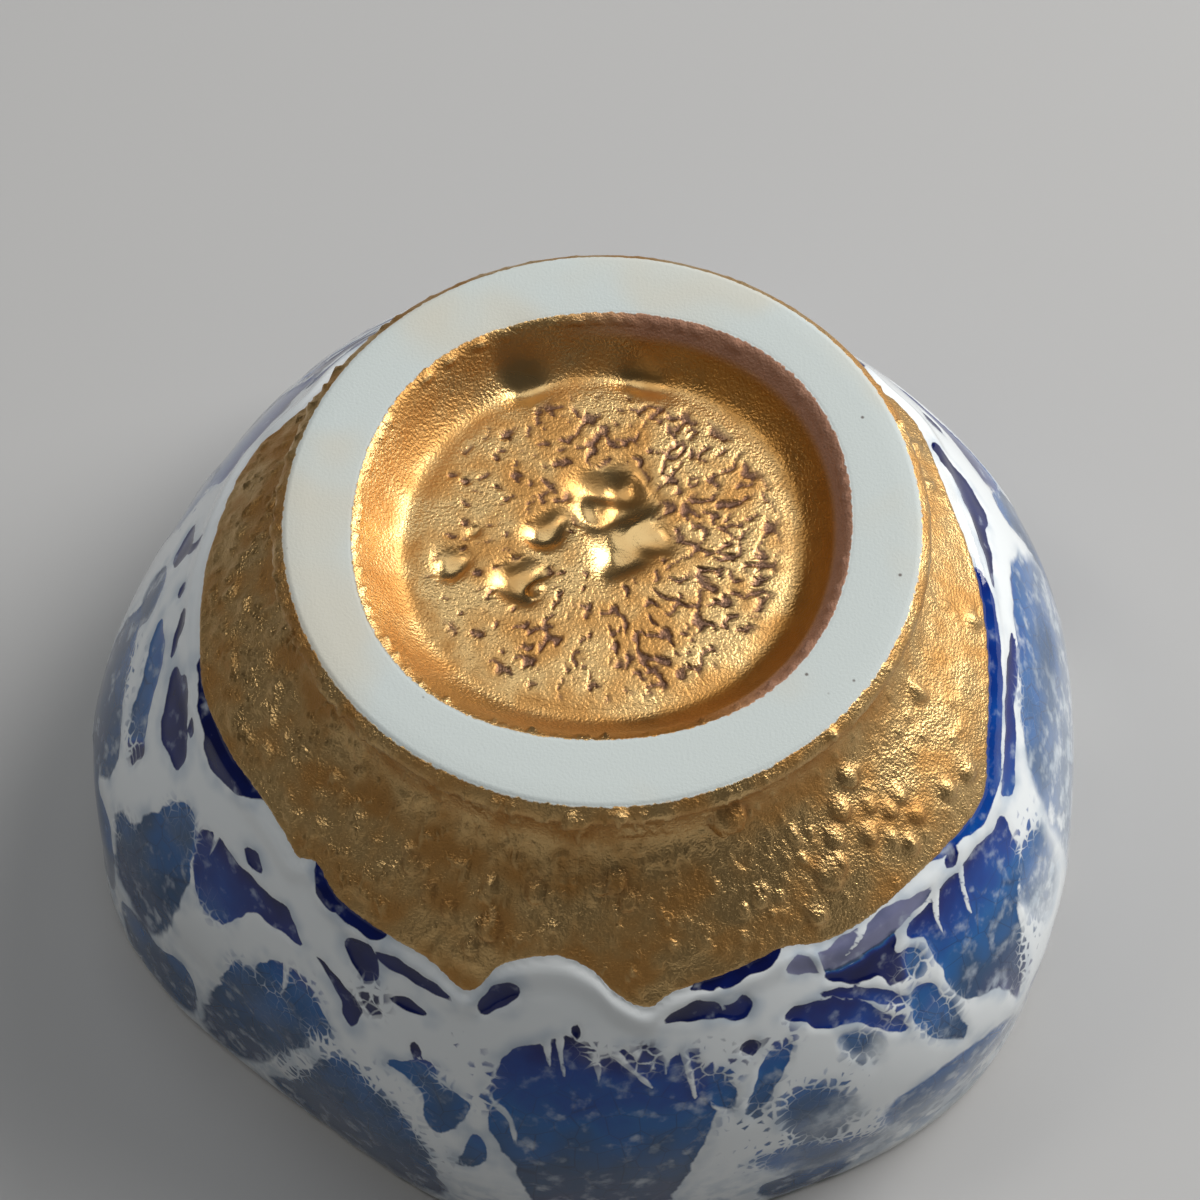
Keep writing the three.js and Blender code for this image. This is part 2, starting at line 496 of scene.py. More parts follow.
INK_POOLS = (
    ((-173, 13.0), (-160, 12.5), (-147.4, 12.4), (-152.5, 14.1), (-156, 14.7), (-160, 14.8),
     (-162.4, 14), (-167, 13.7)),
    ((-171.2, 14.2), (-167, 15.1), (-163.5, 16), (-161.7, 17), (-162.5, 17.9), (-168, 18),
     (-172, 16.7), (-175, 15.7), (-173, 15)),
    ((-165.6, 14.6), (-164, 14.8), (-163.6, 15.4), (-165, 15.3)),
    ((-183, 14.8), (-180.5, 14.3), (-178.5, 15), (-176.6, 15.8), (-180, 15.6)),
    ((-187.8, 15.5), (-186.4, 15.2), (-185.3, 15.7), (-186.6, 16)),
    ((-199, 17.8), (-195, 16.4), (-192, 17.3), (-194, 18.5)),
    ((-195, 15), (-193.4, 15.2), (-193.3, 16.6), (-194.4, 16.6)),
    ((-169.7, 21), (-168.6, 20.3), (-167.6, 21), (-168.4, 22.3), (-169.5, 22)),
    ((-146.3, 16.4), (-144.1, 15.9), (-142, 16.6), (-144.1, 17.1)),
    ((-135.4, 12.5), (-131.5, 12.7), (-130, 13.5), (-129.1, 14.5), (-132, 14.7), (-133.4, 14.2)),
    ((-131, 13.6), (-126, 13.6), (-121, 13.6), (-122.6, 14.5), (-128, 14.6)),
    ((-126.4, 16), (-125, 15.4), (-122.5, 15.1), (-120.5, 16.5), (-122, 17.8), (-124, 17.4)),
    ((-121.7, 15.2), (-119, 14.9), (-114, 15), (-109.8, 15.9), (-115, 15.85), (-120, 15.85)),
    ((-118.2, 17.9), (-116, 17.3), (-112.6, 17.5), (-114.6, 18.1)),
    ((-106.3, 15.6), (-105, 14.3), (-103, 13.7), (-101.4, 13.8), (-101.6, 14.7), (-103.5, 15.6),
     (-105.2, 16.1)),
    ((-130.2, 18.8), (-126, 19), (-123.5, 19.4), (-121.6, 20.2), (-122, 21.8), (-123.6, 21.5),
     (-125, 20.3), (-127.5, 19.4)),
    ((-121.9, 18.9), (-119, 19.2), (-120.4, 20.1)),
    ((-114, 20.7), (-113.2, 20.2), (-112.4, 20.7), (-113.2, 21.2)),
    ((-93.9, 16.3), (-93.2, 15.9), (-92.6, 16.3), (-93.2, 16.8)),
    ((-82.2, 16.1), (-80, 15.2), (-77.5, 15), (-76, 15.3), (-73, 15.9), (-71, 15.4), (-70.3, 16),
     (-71.3, 17), (-73, 17.1), (-75, 16.6), (-78, 16.3)),
    ((-78, 14.2), (-74, 13.3), (-70, 13), (-64.6, 12.9), (-66, 13.9), (-70, 14.3), (-74, 14.5)),
    ((-85.8, 17.7), (-84.4, 17.5), (-83, 17.8), (-84.4, 18)),
    ((-60.3, 16.3), (-55, 16.5), (-49.4, 16.3), (-49.8, 17.4), (-48.8, 18.2), (-50, 19.6),
     (-52.2, 19.4), (-53.2, 18.2), (-57, 17.7)),
    ((-72.7, 19.4), (-71.5, 18.9), (-70.3, 19.4), (-71.5, 20.1)),
    ((-38.2, 15.1), (-36.6, 14.7), (-35.3, 15.1), (-36.8, 15.6)),
)
DEEP_POOLS = (
    ((-152.6, 18.2), (-149.5, 17.7), (-145, 17.8), (-138.5, 17.5), (-136, 17.5), (-132.5, 18.8),
     (-136, 19.2), (-140.5, 19.7), (-143, 21.4), (-144.6, 23.3), (-149, 23.2), (-151.8, 21.2),
     (-153.1, 19.4)),
    ((-66.2, 18.3), (-64.5, 17.6), (-61, 18), (-58.5, 18.7), (-56.5, 19.4), (-55, 20.5), (-51.8, 23.1),
     (-53.6, 23), (-56, 21.5), (-58, 20.4), (-62.5, 19.8), (-63.7, 19)),
    ((-61.2, 17.5), (-57.4, 18), (-54, 19), (-50.6, 21.2), (-53.4, 20.3), (-57, 18.8)),
    ((-40, 14.0), (-30, 14.2), (-25, 14.3), (-22, 13.9), (-17.5, 13.1), (-12, 12.3), (-5, 11.7),
     (0, 11.4), (6, 11.0), (5.6, 12.2), (0, 12.9), (-7.5, 13.5), (-17.5, 14.6), (-21, 15.5),
     (-29, 15.7), (-33, 15.1)),
    ((-23.8, 16.5), (-20, 15.9), (-15, 15), (-10, 14.5), (-0.6, 14.9), (-6, 15.7), (-10, 15.5),
     (-15, 16.3), (-19, 17), (-22, 17.5)),
)
WINDOW_POOLS = (
    ((-102.8, 20.3), (-102.5, 19.3), (-101, 18.4), (-98.5, 17.6), (-94.2, 16.9), (-90, 18.2),
     (-87.5, 17.8), (-85, 18), (-82.5, 18.9), (-79, 18.7), (-77.6, 20.4), (-77.4, 23.2), (-76.6, 24.2),
     (-78, 25.9), (-80.5, 30.6), (-82, 33.7), (-86, 39), (-95.5, 39), (-97, 35), (-98.2, 32.2),
     (-100, 27.9), (-102.7, 25.1), (-103.1, 22)),
    ((-47.3, 17.1), (-45, 16.4), (-40, 16.2), (-36, 16.3), (-32, 16.6), (-29, 17.1), (-26, 17.5),
     (-27.1, 20.4), (-29, 21.5), (-31, 22.6), (-33.4, 25.6), (-35.4, 29.9), (-37, 28.2), (-38.6, 26.2),
     (-43.5, 24.5), (-44.6, 22.5), (-45.4, 18.2)),
)
TEAL_POOLS = (
    ((-184, 17.6), (-180, 17), (-176.5, 17.1), (-173.5, 18.4), (-170.4, 19.8), (-169.9, 20.6),
     (-172, 21.3), (-174.6, 20.9), (-176, 19.8), (-179, 18.9)),
    ((-135.6, 22.1), (-131.5, 21.5), (-128, 22.2), (-125.5, 23.8), (-128.4, 25.4), (-137.2, 24.6)),
    ((-116.4, 22.9), (-114, 21.9), (-111, 21.3), (-110.4, 22.4), (-106.4, 23.1), (-106.3, 24.5),
     (-108, 26.4), (-110, 26.8), (-110.8, 25.1), (-111.1, 24.1), (-113, 23)),
    ((-104.6, 25.9), (-103.2, 27.4), (-104.4, 29.5), (-106.5, 29.9), (-105.4, 28.2)),
    ((-77.2, 21.2), (-75.6, 20.9), (-74.3, 22.4), (-75, 23.9), (-76.6, 23.2)),
    ((-66.8, 19.8), (-68.6, 20.3), (-70.7, 21.8), (-72.4, 24.1), (-72.2, 25), (-70.6, 24.4),
     (-68.8, 22.5), (-66.6, 20.6)),
    ((-50, 18.1), (-48, 17.9), (-46.9, 19.2), (-49.4, 19.7)),
    ((-50.2, 21.5), (-47.6, 21.2), (-46, 24), (-44.8, 27.6), (-47, 26.4), (-49.6, 24.6)),
)
# the shaded left side's pools, darkened partly as painted shade
SHADED_SLATE_POOLS = (
    ((-193.8, 20), (-190, 18.9), (-186.8, 19.6), (-187.4, 21.6), (-192, 21.6)),
    ((-189, 21.6), (-180, 22), (-171.4, 24), (-171.8, 27), (-178, 29.6), (-188, 28.2)),
    ((-158, 18.9), (-154.4, 19.3), (-151.9, 23.2), (-151.9, 25.1), (-153.4, 30.8), (-157, 33.6),
     (-160, 32.4), (-163, 32.1), (-164.2, 28.3), (-165.7, 26.3), (-162.6, 25.1), (-160.6, 22.1)),
    ((-140.5, 25.4), (-136, 25.3), (-128.2, 26), (-130.2, 29), (-133.6, 33), (-139, 38.8),
     (-145.6, 39.2), (-144, 33), (-142, 28.5)),
    ((-123.4, 25.9), (-118, 26.4), (-113, 28), (-110, 33), (-111, 39.4), (-134, 39.4), (-131, 36),
     (-127.4, 31)),
    ((-179, 31), (-171, 29.2), (-166.5, 29.4), (-164.4, 33.4), (-166, 37.5), (-176, 38)),
    ((-161, 35), (-155, 34.6), (-149, 33), (-147.6, 37), (-150, 39.6), (-160, 39.6)),
    ((-71, 37), (-66, 36.3), (-60, 36.5), (-60.4, 39.4), (-69, 39.6)),
)
MIST_POOLS = (
    ((-60, 21.3), (-57.6, 21.6), (-55.8, 22.8), (-56.4, 23.8), (-58.8, 23.3)),
    ((-68.4, 25.4), (-65, 24.4), (-61, 26.4), (-60.5, 29.5), (-64, 31), (-67.8, 28.6)),
    ((-72, 31.6), (-67, 31), (-60, 33.4), (-54, 37), (-58, 39), (-66, 36.4)),
    ((-56, 31), (-46, 29.6), (-38, 32), (-36, 37), (-44, 39.4), (-53, 37)),
    ((-19, 24), (-17, 19.4), (-12, 17), (-4, 16.1), (4, 15.6), (11, 16.4), (15, 19), (17, 24),
     (13, 29), (2, 31), (-10, 32), (-17, 30.4)),
    ((-30.2, 23.4), (-26, 20.8), (-22, 21.8), (-21, 25), (-23.6, 27.4), (-28, 27)),
    ((-33, 33), (-22, 31.4), (-8, 34), (4, 33.4), (6, 38), (-10, 39.6), (-28, 39)),
)
# where the painted sky reflection lies
PAINTED_SKY_REFLECTION_POOLS = (
    ((-64.9, 14.9), (-63, 14.2), (-60, 14.5), (-50, 14.4), (-45, 14.8), (-41.3, 15.6), (-47, 16),
     (-52, 16.5), (-58, 16.3), (-62, 15.8)),
)
POOLS = tuple(
    GlazePool(depth, outline)
    for depth, outlines in (
        (PoolDepth.INK, INK_POOLS), (PoolDepth.DEEP, DEEP_POOLS), (PoolDepth.WINDOW, WINDOW_POOLS),
        (PoolDepth.TEAL, TEAL_POOLS), (PoolDepth.SHADED_SLATE, SHADED_SLATE_POOLS), (PoolDepth.MIST, MIST_POOLS),
        (PoolDepth.PAINTED_SKY_REFLECTION, PAINTED_SKY_REFLECTION_POOLS),
    )
    for outline in outlines
)
TENDRILS = (
    Tendril(0.16, ((-97.2, 16.6), (-96.8, 17.8), (-96.4, 19))),
    Tendril(0.15, ((-95.4, 16.4), (-95.2, 17.8), (-94.6, 19.6))),
    Tendril(0.14, ((-91.4, 17.4), (-90.6, 18.8), (-90.2, 20.6))),
    Tendril(0.18, ((-89.4, 17.4), (-87, 18.9), (-84, 20.9))),
    Tendril(0.14, ((-87, 17.4), (-85.2, 18.6), (-83.6, 19.4))),
    Tendril(0.14, ((-82.2, 18.2), (-82, 19.2), (-82.2, 19.9))),
    Tendril(0.17, ((-79.8, 18.2), (-79.4, 20.2), (-78.8, 22.4))),
    Tendril(0.16, ((-103.4, 22.4), (-100.8, 23.6), (-99.8, 26))),
    Tendril(0.14, ((-74.4, 14.6), (-74.2, 15.4), (-74, 16.2))),
    Tendril(0.2, ((-60.8, 14.2), (-60.4, 15.4), (-60.2, 16.4))),
    Tendril(0.18, ((-52, 14.2), (-54, 15), (-56.4, 15.6))),
    Tendril(0.15, ((-41, 16), (-42.6, 17.4), (-43, 19))),
    Tendril(0.16, ((-35.4, 15.8), (-37.2, 17.4), (-38, 19.4))),
    Tendril(0.15, ((-151, 17.4), (-150.6, 18.8), (-150.8, 20))),
    Tendril(0.2, ((-134, 20.8), (-133, 22.8), (-133.6, 24.2))),
)
FROTHS = tuple(Froth(*sizes) for sizes in (
    (-107.5, 18.8, 1.7), (-104.4, 20.6, 1.6), (-104, 22.6, 1.2), (-76.6, 19.6, 2.2),
    (-74.2, 20.6, 1.6), (-67.5, 19.6, 1.6), (-72.4, 26, 2.6), (-66, 25.4, 3.2), (-70, 30, 3.6),
    (-60, 24.8, 2.2), (-134, 26.4, 3.6), (-120, 27, 4.2), (-115, 30.6, 4.4), (-126.6, 24.8, 2.2),
    (-58, 22.4, 1.4), (-48.4, 19.2, 1.8), (-156, 20.2, 2.4), (-181, 21.4, 2.6), (-24, 20.6, 2.4),
    (-120.6, 18.6, 1.8), (-91, 18, 1.6), (-84.6, 18.6, 1.6), (-130, 22, 2), (-138, 26, 2.4),
    (-110.6, 22.6, 1.8), (-47.4, 24, 2.2), (-33, 27, 2.6), (-62, 33, 4), (-52, 21.6, 1.6), (-8, 18, 3),
    (4, 21, 3.4), (-160.6, 27, 3), (-147, 22.6, 1.6), (-171, 21.4, 1.8), (-128, 33, 4),
))


@dataclass
class MarbledGlaze:
    """The marbled coat: pools laid on the shown side and carried round to the far side.

    Attributes:
        pools: The pools of the shown side.
        tendrils: The threads of white that run into them.
        froths: The patches of burst bubbles.
        far_side: First and last direction of the far side in degrees.
        seed: Seed of the far side's pools.
        far_turn: Largest turn in degrees that one of them is out of its place.
        far_sink: Largest drop that one of them is out of its place.
        reference: Radius at which a direction counts as a length in millimetres.
        reach: Largest distance from a pool's edge that is told apart.
        wander: Height of the slow waves that the pools' edges follow.
        grip: How fast a pool's tone takes over from its neighbour's, per millimetre.
        top_mist: Share of a pool's mist at its top.
        thread_ends: Width of a tendril at its top and at its foot, as shares of its own.
        froth_edge: Where a patch of froth starts to thin and where it ends, in its own radii.
    """

    pools: tuple[GlazePool, ...] = POOLS
    tendrils: tuple[Tendril, ...] = TENDRILS
    froths: tuple[Froth, ...] = FROTHS
    far_side: Point = (18.0, 160.0)
    seed: int = 11
    far_turn: float = 3.0
    far_sink: float = 0.6
    reference: float = 32.0
    reach: float = 3.0
    wander: float = 0.1
    grip: float = 5.0
    top_mist: float = 0.35
    thread_ends: Point = (1.9, 0.6)
    froth_edge: Point = (0.3, 1.3)

    def is_far(self, turn: float) -> bool:
        """Tells whether a direction of the shown side lies on the far side after half a turn."""
        return self.far_side[0] < turn + 180 < self.far_side[1]

    def far_pools(self) -> list[GlazePool]:
        """Carries the shown side's pools half a turn round, each a little out of its place."""
        draw = np.random.default_rng(self.seed)
        pools = []
        for pool in self.pools:
            shift = draw.uniform(-self.far_turn, self.far_turn) + 180
            sink = draw.uniform(-self.far_sink, self.far_sink)
            if self.is_far(np.mean(pool.outline, axis=0)[0]):
                outline = tuple((turn + shift, drop + sink) for turn, drop in pool.outline)
                pools.append(GlazePool(pool.depth, outline))
        return pools

    def far_froths(self) -> list[Froth]:
        """Carries the shown side's froth half a turn round."""
        moved = [patch for patch in self.froths if self.is_far(patch.facing)]
        return [Froth(patch.facing + 180, patch.drop, patch.radius) for patch in moved]

    def wandering(self, x: np.ndarray, y: np.ndarray) -> tuple[np.ndarray, np.ndarray]:
        """Shifts points by slow crossing waves, so that edges run as fluid does."""
        shift_x = np.sin(1.9 * y + 0.7 * x) + 0.6 * np.sin(3.7 * y - 2.3 * x + 1.3)
        shift_y = np.sin(1.6 * x - 0.8 * y + 2.1) + 0.6 * np.sin(3.3 * x + 2.6 * y + 0.4)
        return x + self.wander * shift_x, y + self.wander * shift_y

    def fields(self, surface: Surface) -> dict[str, np.ndarray]:
        """Measures every surface point against the pools, the tendrils and the froth.

        Args:
            surface: The cup's surface points.

        Returns:
            The distance into the nearest pool, its tone, its mist and the froth at each point.
        """
        inside, tone, mist = self.pooled(surface)
        inside = np.minimum(inside, self.threaded(surface))
        return {"pool": inside, "tone": tone, "mist": mist, "froth": self.frothed(surface)}

    def pooled(self, surface: Surface) -> tuple[np.ndarray, np.ndarray, np.ndarray]:
        """Measures every surface point against the pools.

        Args:
            surface: The cup's surface points.

        Returns:
            The distance into the nearest pool, its tone and its mist at each point.
        """
        size = len(surface.turn)
        inside = np.full(size, -self.reach)
        tone, mist, weight = np.zeros(size), np.zeros(size), np.full(size, TINY)
        for pool in [*self.pools, *self.far_pools()]:
            line, x = self.laid(surface, curve_through(list(pool.outline), 6, closed=True))
            x, y = self.wandering(x, surface.along)
            chosen = self.around(surface, x, y, line)
            depth = self.depth_inside(np.stack([x[chosen], y[chosen]], axis=1), line)
            low, high = line[:, 1].min(), line[:, 1].max()
            share = np.clip((y[chosen] - low) / (high - low), 0, 1)
            pull = np.exp(self.grip * depth)
            top, foot, haze, spread = pool.depth.value
            inside[chosen] = np.maximum(inside[chosen], depth + spread)
            tone[chosen] += pull * (top + (foot - top) * np.sqrt(share))
            mist[chosen] += pull * haze * (self.top_mist + (1 - self.top_mist) * share)
            weight[chosen] += pull
        return inside, tone / weight, mist / weight

    def threaded(self, surface: Surface) -> np.ndarray:
        """Measures how far every surface point lies from the nearest tendril's edge."""
        away = np.full(len(surface.turn), np.inf)
        wide, narrow = self.thread_ends
        for tendril in self.tendrils:
            line, x = self.laid(surface, curve_through(list(tendril.path), 6))
            chosen = self.around(surface, x, surface.along, line)
            points = np.stack([x[chosen], surface.along[chosen]], axis=1)
            share = np.clip((points[:, 1] - line[0, 1]) / (line[-1, 1] - line[0, 1]), 0, 1)
            width = tendril.half_width * (wide + (narrow - wide) * share)
            away[chosen] = np.minimum(away[chosen], self.gap_to(points, line)[0] - width)
        return away

    def frothed(self, surface: Surface) -> np.ndarray:
        """Tells how thick the froth lies at every surface point, from 0 to 1."""
        froth = np.zeros(len(surface.turn))
        for patch in [*self.froths, *self.far_froths()]:
            line, x = self.laid(surface, np.array([[patch.facing, patch.drop]]))
            gap = np.hypot(x - line[0, 0], surface.along - line[0, 1])
            froth = np.maximum(froth, 1 - rise(gap / patch.radius, *self.froth_edge))
        return np.where(surface.on(Skin.OUTSIDE), froth, 0)

    def laid(self, surface: Surface, line: np.ndarray) -> tuple[np.ndarray, np.ndarray]:
        """Lays a line of the outside flat, in millimetres.

        Args:
            surface: The cup's surface points.
            line: The line's points, as direction in degrees and drop.

        Returns:
            The flat line, and how far round each surface point lies beside it.
        """
        scale = math.radians(self.reference)
        flat = np.stack([line[:, 0] * scale, surface.length_at(line[:, 1])], axis=1)
        middle = line[:, 0].mean()
        return flat, ((surface.turn - middle + 180) % 360 - 180 + middle) * scale

    def around(self, surface: Surface, x: np.ndarray, y: np.ndarray, line: np.ndarray) -> np.ndarray:
        """Picks the outside points in and near the box round a flat line."""
        low, high = line.min(axis=0) - self.reach, line.max(axis=0) + self.reach
        wide = (x > low[0]) & (x < high[0])
        tall = (y > low[1]) & (y < high[1])
        return np.flatnonzero(surface.on(Skin.OUTSIDE) & wide & tall)

    def gap_to(self, points: np.ndarray, line: np.ndarray) -> tuple[np.ndarray, np.ndarray]:
        """Measures the gap between points and a line.

        Args:
            points: Flat points, one in each row.
            line: The line's points.

        Returns:
            The gap of each point, and the steps between the line's points.
        """
        start, step = line[:-1], np.diff(line, axis=0)
        offset = points[:, None, :] - start[None]
        share = np.clip((offset * step).sum(axis=2) / np.maximum((step ** 2).sum(axis=1), TINY), 0, 1)
        return np.sqrt(((offset - share[..., None] * step) ** 2).sum(axis=2)).min(axis=1), step

    def depth_inside(self, points: np.ndarray, line: np.ndarray) -> np.ndarray:
        """Measures how deep points lie inside a closed line.

        Args:
            points: Flat points, one in each row.
            line: The line's points, with the first one again at the end.

        Returns:
            Distances to the line, below zero outside it.
        """
        gap, step = self.gap_to(points, line)
        above = line[None, :, 1] > points[:, None, 1]
        crossing = above[:, :-1] != above[:, 1:]
        tall = np.where(np.abs(step[:, 1]) < TINY, TINY, step[:, 1])
        meets = line[:-1, 0] + (points[:, None, 1] - line[:-1, 1]) / tall * step[:, 0]
        odd = (crossing & (points[:, None, 0] < meets)).sum(axis=1) % 2 == 1
        return np.where(odd, gap, -gap)


@dataclass
class LustreCoat:
    """The gold lustre of the foot zone and its ragged edge on the glaze.

    Attributes:
        edge: Drop of the lustre's lower edge, as direction in degrees and drop in millimetres.
        ring_inner: Radius at which the bare ring starts.
        ring_outer: Radius at which it ends.
        ring_drop: Drop below which no ring is bare.
        reach: Largest distance from an edge that is told apart.
        floor_edge: Radii between which the recess floor ends.
        pitted_edge: Radii between which the pits of the floor start.
        amber_edge: Radii between which the amber wall starts.
        worn_edge: Radii between which the worn mouth starts.
        painted_bead_shade: Middle and half width of the painted shade line round a bead, in the bead's
            radii.
    """

    edge: tuple[Point, ...] = (
        (-180, 13.0), (-168, 13.2), (-158, 13.0), (-148, 12.8), (-142, 13.1), (-138, 13.5), (-135, 12.9),
        (-129, 13.8), (-115, 13.9), (-108, 14.9), (-104, 12.8), (-97, 11.9), (-91.5, 12.5), (-88, 13.9),
        (-84, 14.9), (-80, 14.1), (-70, 13.6), (-64, 13.4), (-57, 14.2), (-40, 14.2), (-27, 14.9),
        (-20, 13.6), (-11, 12.7), (-2, 12.1), (10, 11.5), (17, 11.3), (25, 11.6), (36, 12.8), (43, 12.6),
        (52, 13.6), (75, 13.0), (92, 13.9), (110, 12.6), (128, 13.4), (139, 12.2),
        (146, 13), (151, 14.2), (165, 13.4),
    )
    ring_inner: float = 16.62
    ring_outer: float = 20.98
    ring_drop: float = 0.5
    reach: float = 3.0
    floor_edge: Point = (11.2, 12.4)
    pitted_edge: Point = (3.0, 5.5)
    amber_edge: Point = (12.6, 13.8)
    worn_edge: Point = (15.2, 15.7)
    painted_bead_shade: Point = (1.05, 0.3)

    def edge_drop(self, turn: np.ndarray) -> np.ndarray:
        """Finds the drop of the lustre's edge at the given directions in degrees."""
        knots = list(self.edge)
        around = [(knots[-1][0] - 360, knots[-1][1]), *knots, (knots[0][0] + 360, knots[0][1])]
        line = curve_through(around, 8)
        return np.interp(turn, line[:, 0], line[:, 1])

    def fields(self, surface: Surface, form: CupForm) -> dict[str, np.ndarray]:
        """Measures every surface point against the lustre's edge and the bare ring.

        Args:
            surface: The cup's surface points.
            form: The cup's form.

        Returns:
            The distances into the lustre and the bare ring, the depth of the hollows, and masks of the
            recess, its floor, pits, amber wall and worn mouth, of the band's streaks and drops, and of the
            painted shade round its beads.
        """
        outside, in_recess = surface.on(Skin.OUTSIDE), surface.on(Skin.RECESS)
        lustre = np.full(len(surface.turn), self.reach)
        edge = surface.length_at(self.edge_drop(surface.turn[outside]))
        lustre[outside] = edge - surface.along[outside]
        lustre[surface.on(Skin.INSIDE)] = -self.reach
        bare = np.minimum(surface.radius - self.ring_inner, self.ring_outer - surface.radius)
        bare[surface.drop > self.ring_drop] = -self.reach
        angle = np.radians(surface.turn)
        hollow = form.pressed(surface.radius * np.cos(angle), surface.radius * np.sin(angle))
        amber = rise(surface.radius, *self.amber_edge) * rise(surface.facing(0), -0.3, 0.5)
        worn = rise(surface.radius, *self.worn_edge) * rise(surface.facing(15), 0, 0.5)
        return {
            "lustre": np.clip(lustre, -self.reach, self.reach),
            "bare": np.clip(bare, -self.reach, self.reach),
            "recess": in_recess.astype(float),
            "hollow": np.where(in_recess, np.abs(hollow), 0),
            "floor": np.where(in_recess, 1 - rise(surface.radius, *self.floor_edge), 0),
            "pitted": rise(surface.radius, *self.pitted_edge) * rise(surface.facing(10), -1.4, 1),
            "amber": np.where(in_recess, amber, 0),
            "worn": np.where(in_recess, worn, 0),
            "streaky": rise(surface.facing(-150), -0.5, 0.7),
            "beaded": rise(surface.facing(-30), -0.3, 0.8),
            # painted shade line round each bead
            "painted_bead_shade": np.where(outside, self.painted_bead_shade_line(surface, form), 0),
        }

    def painted_bead_shade_line(self, surface: Surface, form: CupForm) -> np.ndarray:
        """Marks the painted shade line round each bead."""
        middle, half_width = self.painted_bead_shade
        mark = np.zeros(len(surface.turn))
        for _, away in form.bead_gaps(surface.turn, surface.radius, surface.drop):
            mark = np.maximum(mark, 1 - rise(np.abs(away - middle), 0, half_width))
        return mark


class NodeScript:
    """Writes nodes into a shader or geometry tree, one short call for each node."""

    def __init__(self, tree: bpy.types.NodeTree) -> None:
        """Takes the tree that the nodes go into."""
        self.tree = tree

    def node(self, kind: str, **settings: object) -> bpy.types.Node:
        """Adds a node of that kind with its settings."""
        node = self.tree.nodes.new(kind)
        for name, value in settings.items():
            setattr(node, name, value)
        return node

    def feed(self, socket: Socket, value: object) -> None:
        """Links a socket to another, or sets a plain value on it."""
        if isinstance(value, bpy.types.NodeSocket):
            self.tree.links.new(value, socket)
        elif value is not None:
            socket.default_value = value

    def math(self, operation: str, first: object, second: object = None, clamp: bool = False) -> Socket:
        """Adds a Math node.

        Args:
            operation: The node's operation.
            first: First number or socket.
            second: Second number or socket.
            clamp: True to keep the result from 0 to 1.

        Returns:
            The result's socket.
        """
        node = self.node("ShaderNodeMath", operation=operation, use_clamp=clamp)
        self.feed(node.inputs[0], first)
        self.feed(node.inputs[1], second)
        return node.outputs[0]

    def add(self, first: object, second: object) -> Socket:
        """Adds two values."""
        return self.math("ADD", first, second)

    def times(self, first: object, second: object) -> Socket:
        """Multiplies two values."""
        return self.math("MULTIPLY", first, second)

    def less(self, first: object, second: object, clamp: bool = False) -> Socket:
        """Takes the second value from the first."""
        return self.math("SUBTRACT", first, second, clamp)

    def fall(self, value: object, low: object, high: object) -> Socket:
        """Falls softly from 1 at low to 0 at high."""
        return self.rise(value, low, high, 1.0, 0.0)

    def rise(
        self, value: object, low: object, high: object, start: float = 0.0, end: float = 1.0,
    ) -> Socket:
        """Climbs softly from start at low to end at high."""
        node = self.node("ShaderNodeMapRange", interpolation_type="SMOOTHSTEP")
        for place, part in enumerate((value, low, high, start, end)):
            self.feed(node.inputs[place], part)
        return node.outputs[0]

    def vector(self, operation: str, first: object, second: object) -> Socket:
        """Adds a Vector Math node for two vectors, or for a vector and a scale."""
        node = self.node("ShaderNodeVectorMath", operation=operation)
        self.feed(node.inputs[0], first)
        self.feed(node.inputs["Scale"] if operation == "SCALE" else node.inputs[1], second)
        return node.outputs[0]

    def noise(self, place: Socket, scale: float, detail: float = 2.0, colour: bool = False) -> Socket:
        """Adds a Noise Texture.

        Args:
            place: Where it is read.
            scale: Its scale.
            detail: Its octaves.
            colour: True for three numbers instead of one.

        Returns:
            The noise's socket.
        """
        node = self.node("ShaderNodeTexNoise", noise_dimensions="3D")
        self.feed(node.inputs["Vector"], place)
        self.feed(node.inputs["Scale"], scale)
        self.feed(node.inputs["Detail"], detail)
        return node.outputs[1 if colour else 0]

    def swing(self, place: Socket, scale: float, detail: float = 2.0) -> Socket:
        """Adds noise that swings about zero."""
        return self.less(self.noise(place, scale, detail), 0.5)

    def cells(self, place: Socket, scale: float, feature: str = "F1", output: str = "Distance") -> Socket:
        """Adds a Voronoi Texture.

        Args:
            place: Where it is read.
            scale: Its scale.
            feature: What it measures.
            output: Which of its outputs is wanted.

        Returns:
            That output's socket.
        """
        node = self.node("ShaderNodeTexVoronoi", voronoi_dimensions="3D", feature=feature)
        self.feed(node.inputs["Vector"], place)
        self.feed(node.inputs["Scale"], scale)
        return node.outputs[output]

    def warped(self, place: Socket, scale: float, amount: float) -> Socket:
        """Pushes a place about by noise of that scale and amount."""
        push = self.vector("SUBTRACT", self.noise(place, scale, 2.0, colour=True), (0.5, 0.5, 0.5))
        return self.vector("ADD", place, self.vector("SCALE", push, amount))

    def mix(self, factor: object, first: object, second: object) -> Socket:
        """Mixes two colours, from the first at 0 to the second at 1."""
        node = self.node("ShaderNodeMix", data_type="RGBA")
        colours = [socket for socket in node.inputs if socket.type == "RGBA"]
        self.feed(node.inputs[0], factor)
        self.feed(colours[0], first)
        self.feed(colours[1], second)
        return [socket for socket in node.outputs if socket.type == "RGBA"][0]

    def blend(self, factor: object, first: object, second: object) -> Socket:
        """Mixes two numbers, from the first at 0 to the second at 1."""
        node = self.node("ShaderNodeMix", data_type="FLOAT")
        self.feed(node.inputs[0], factor)
        self.feed(node.inputs[2], first)
        self.feed(node.inputs[3], second)
        return node.outputs[0]

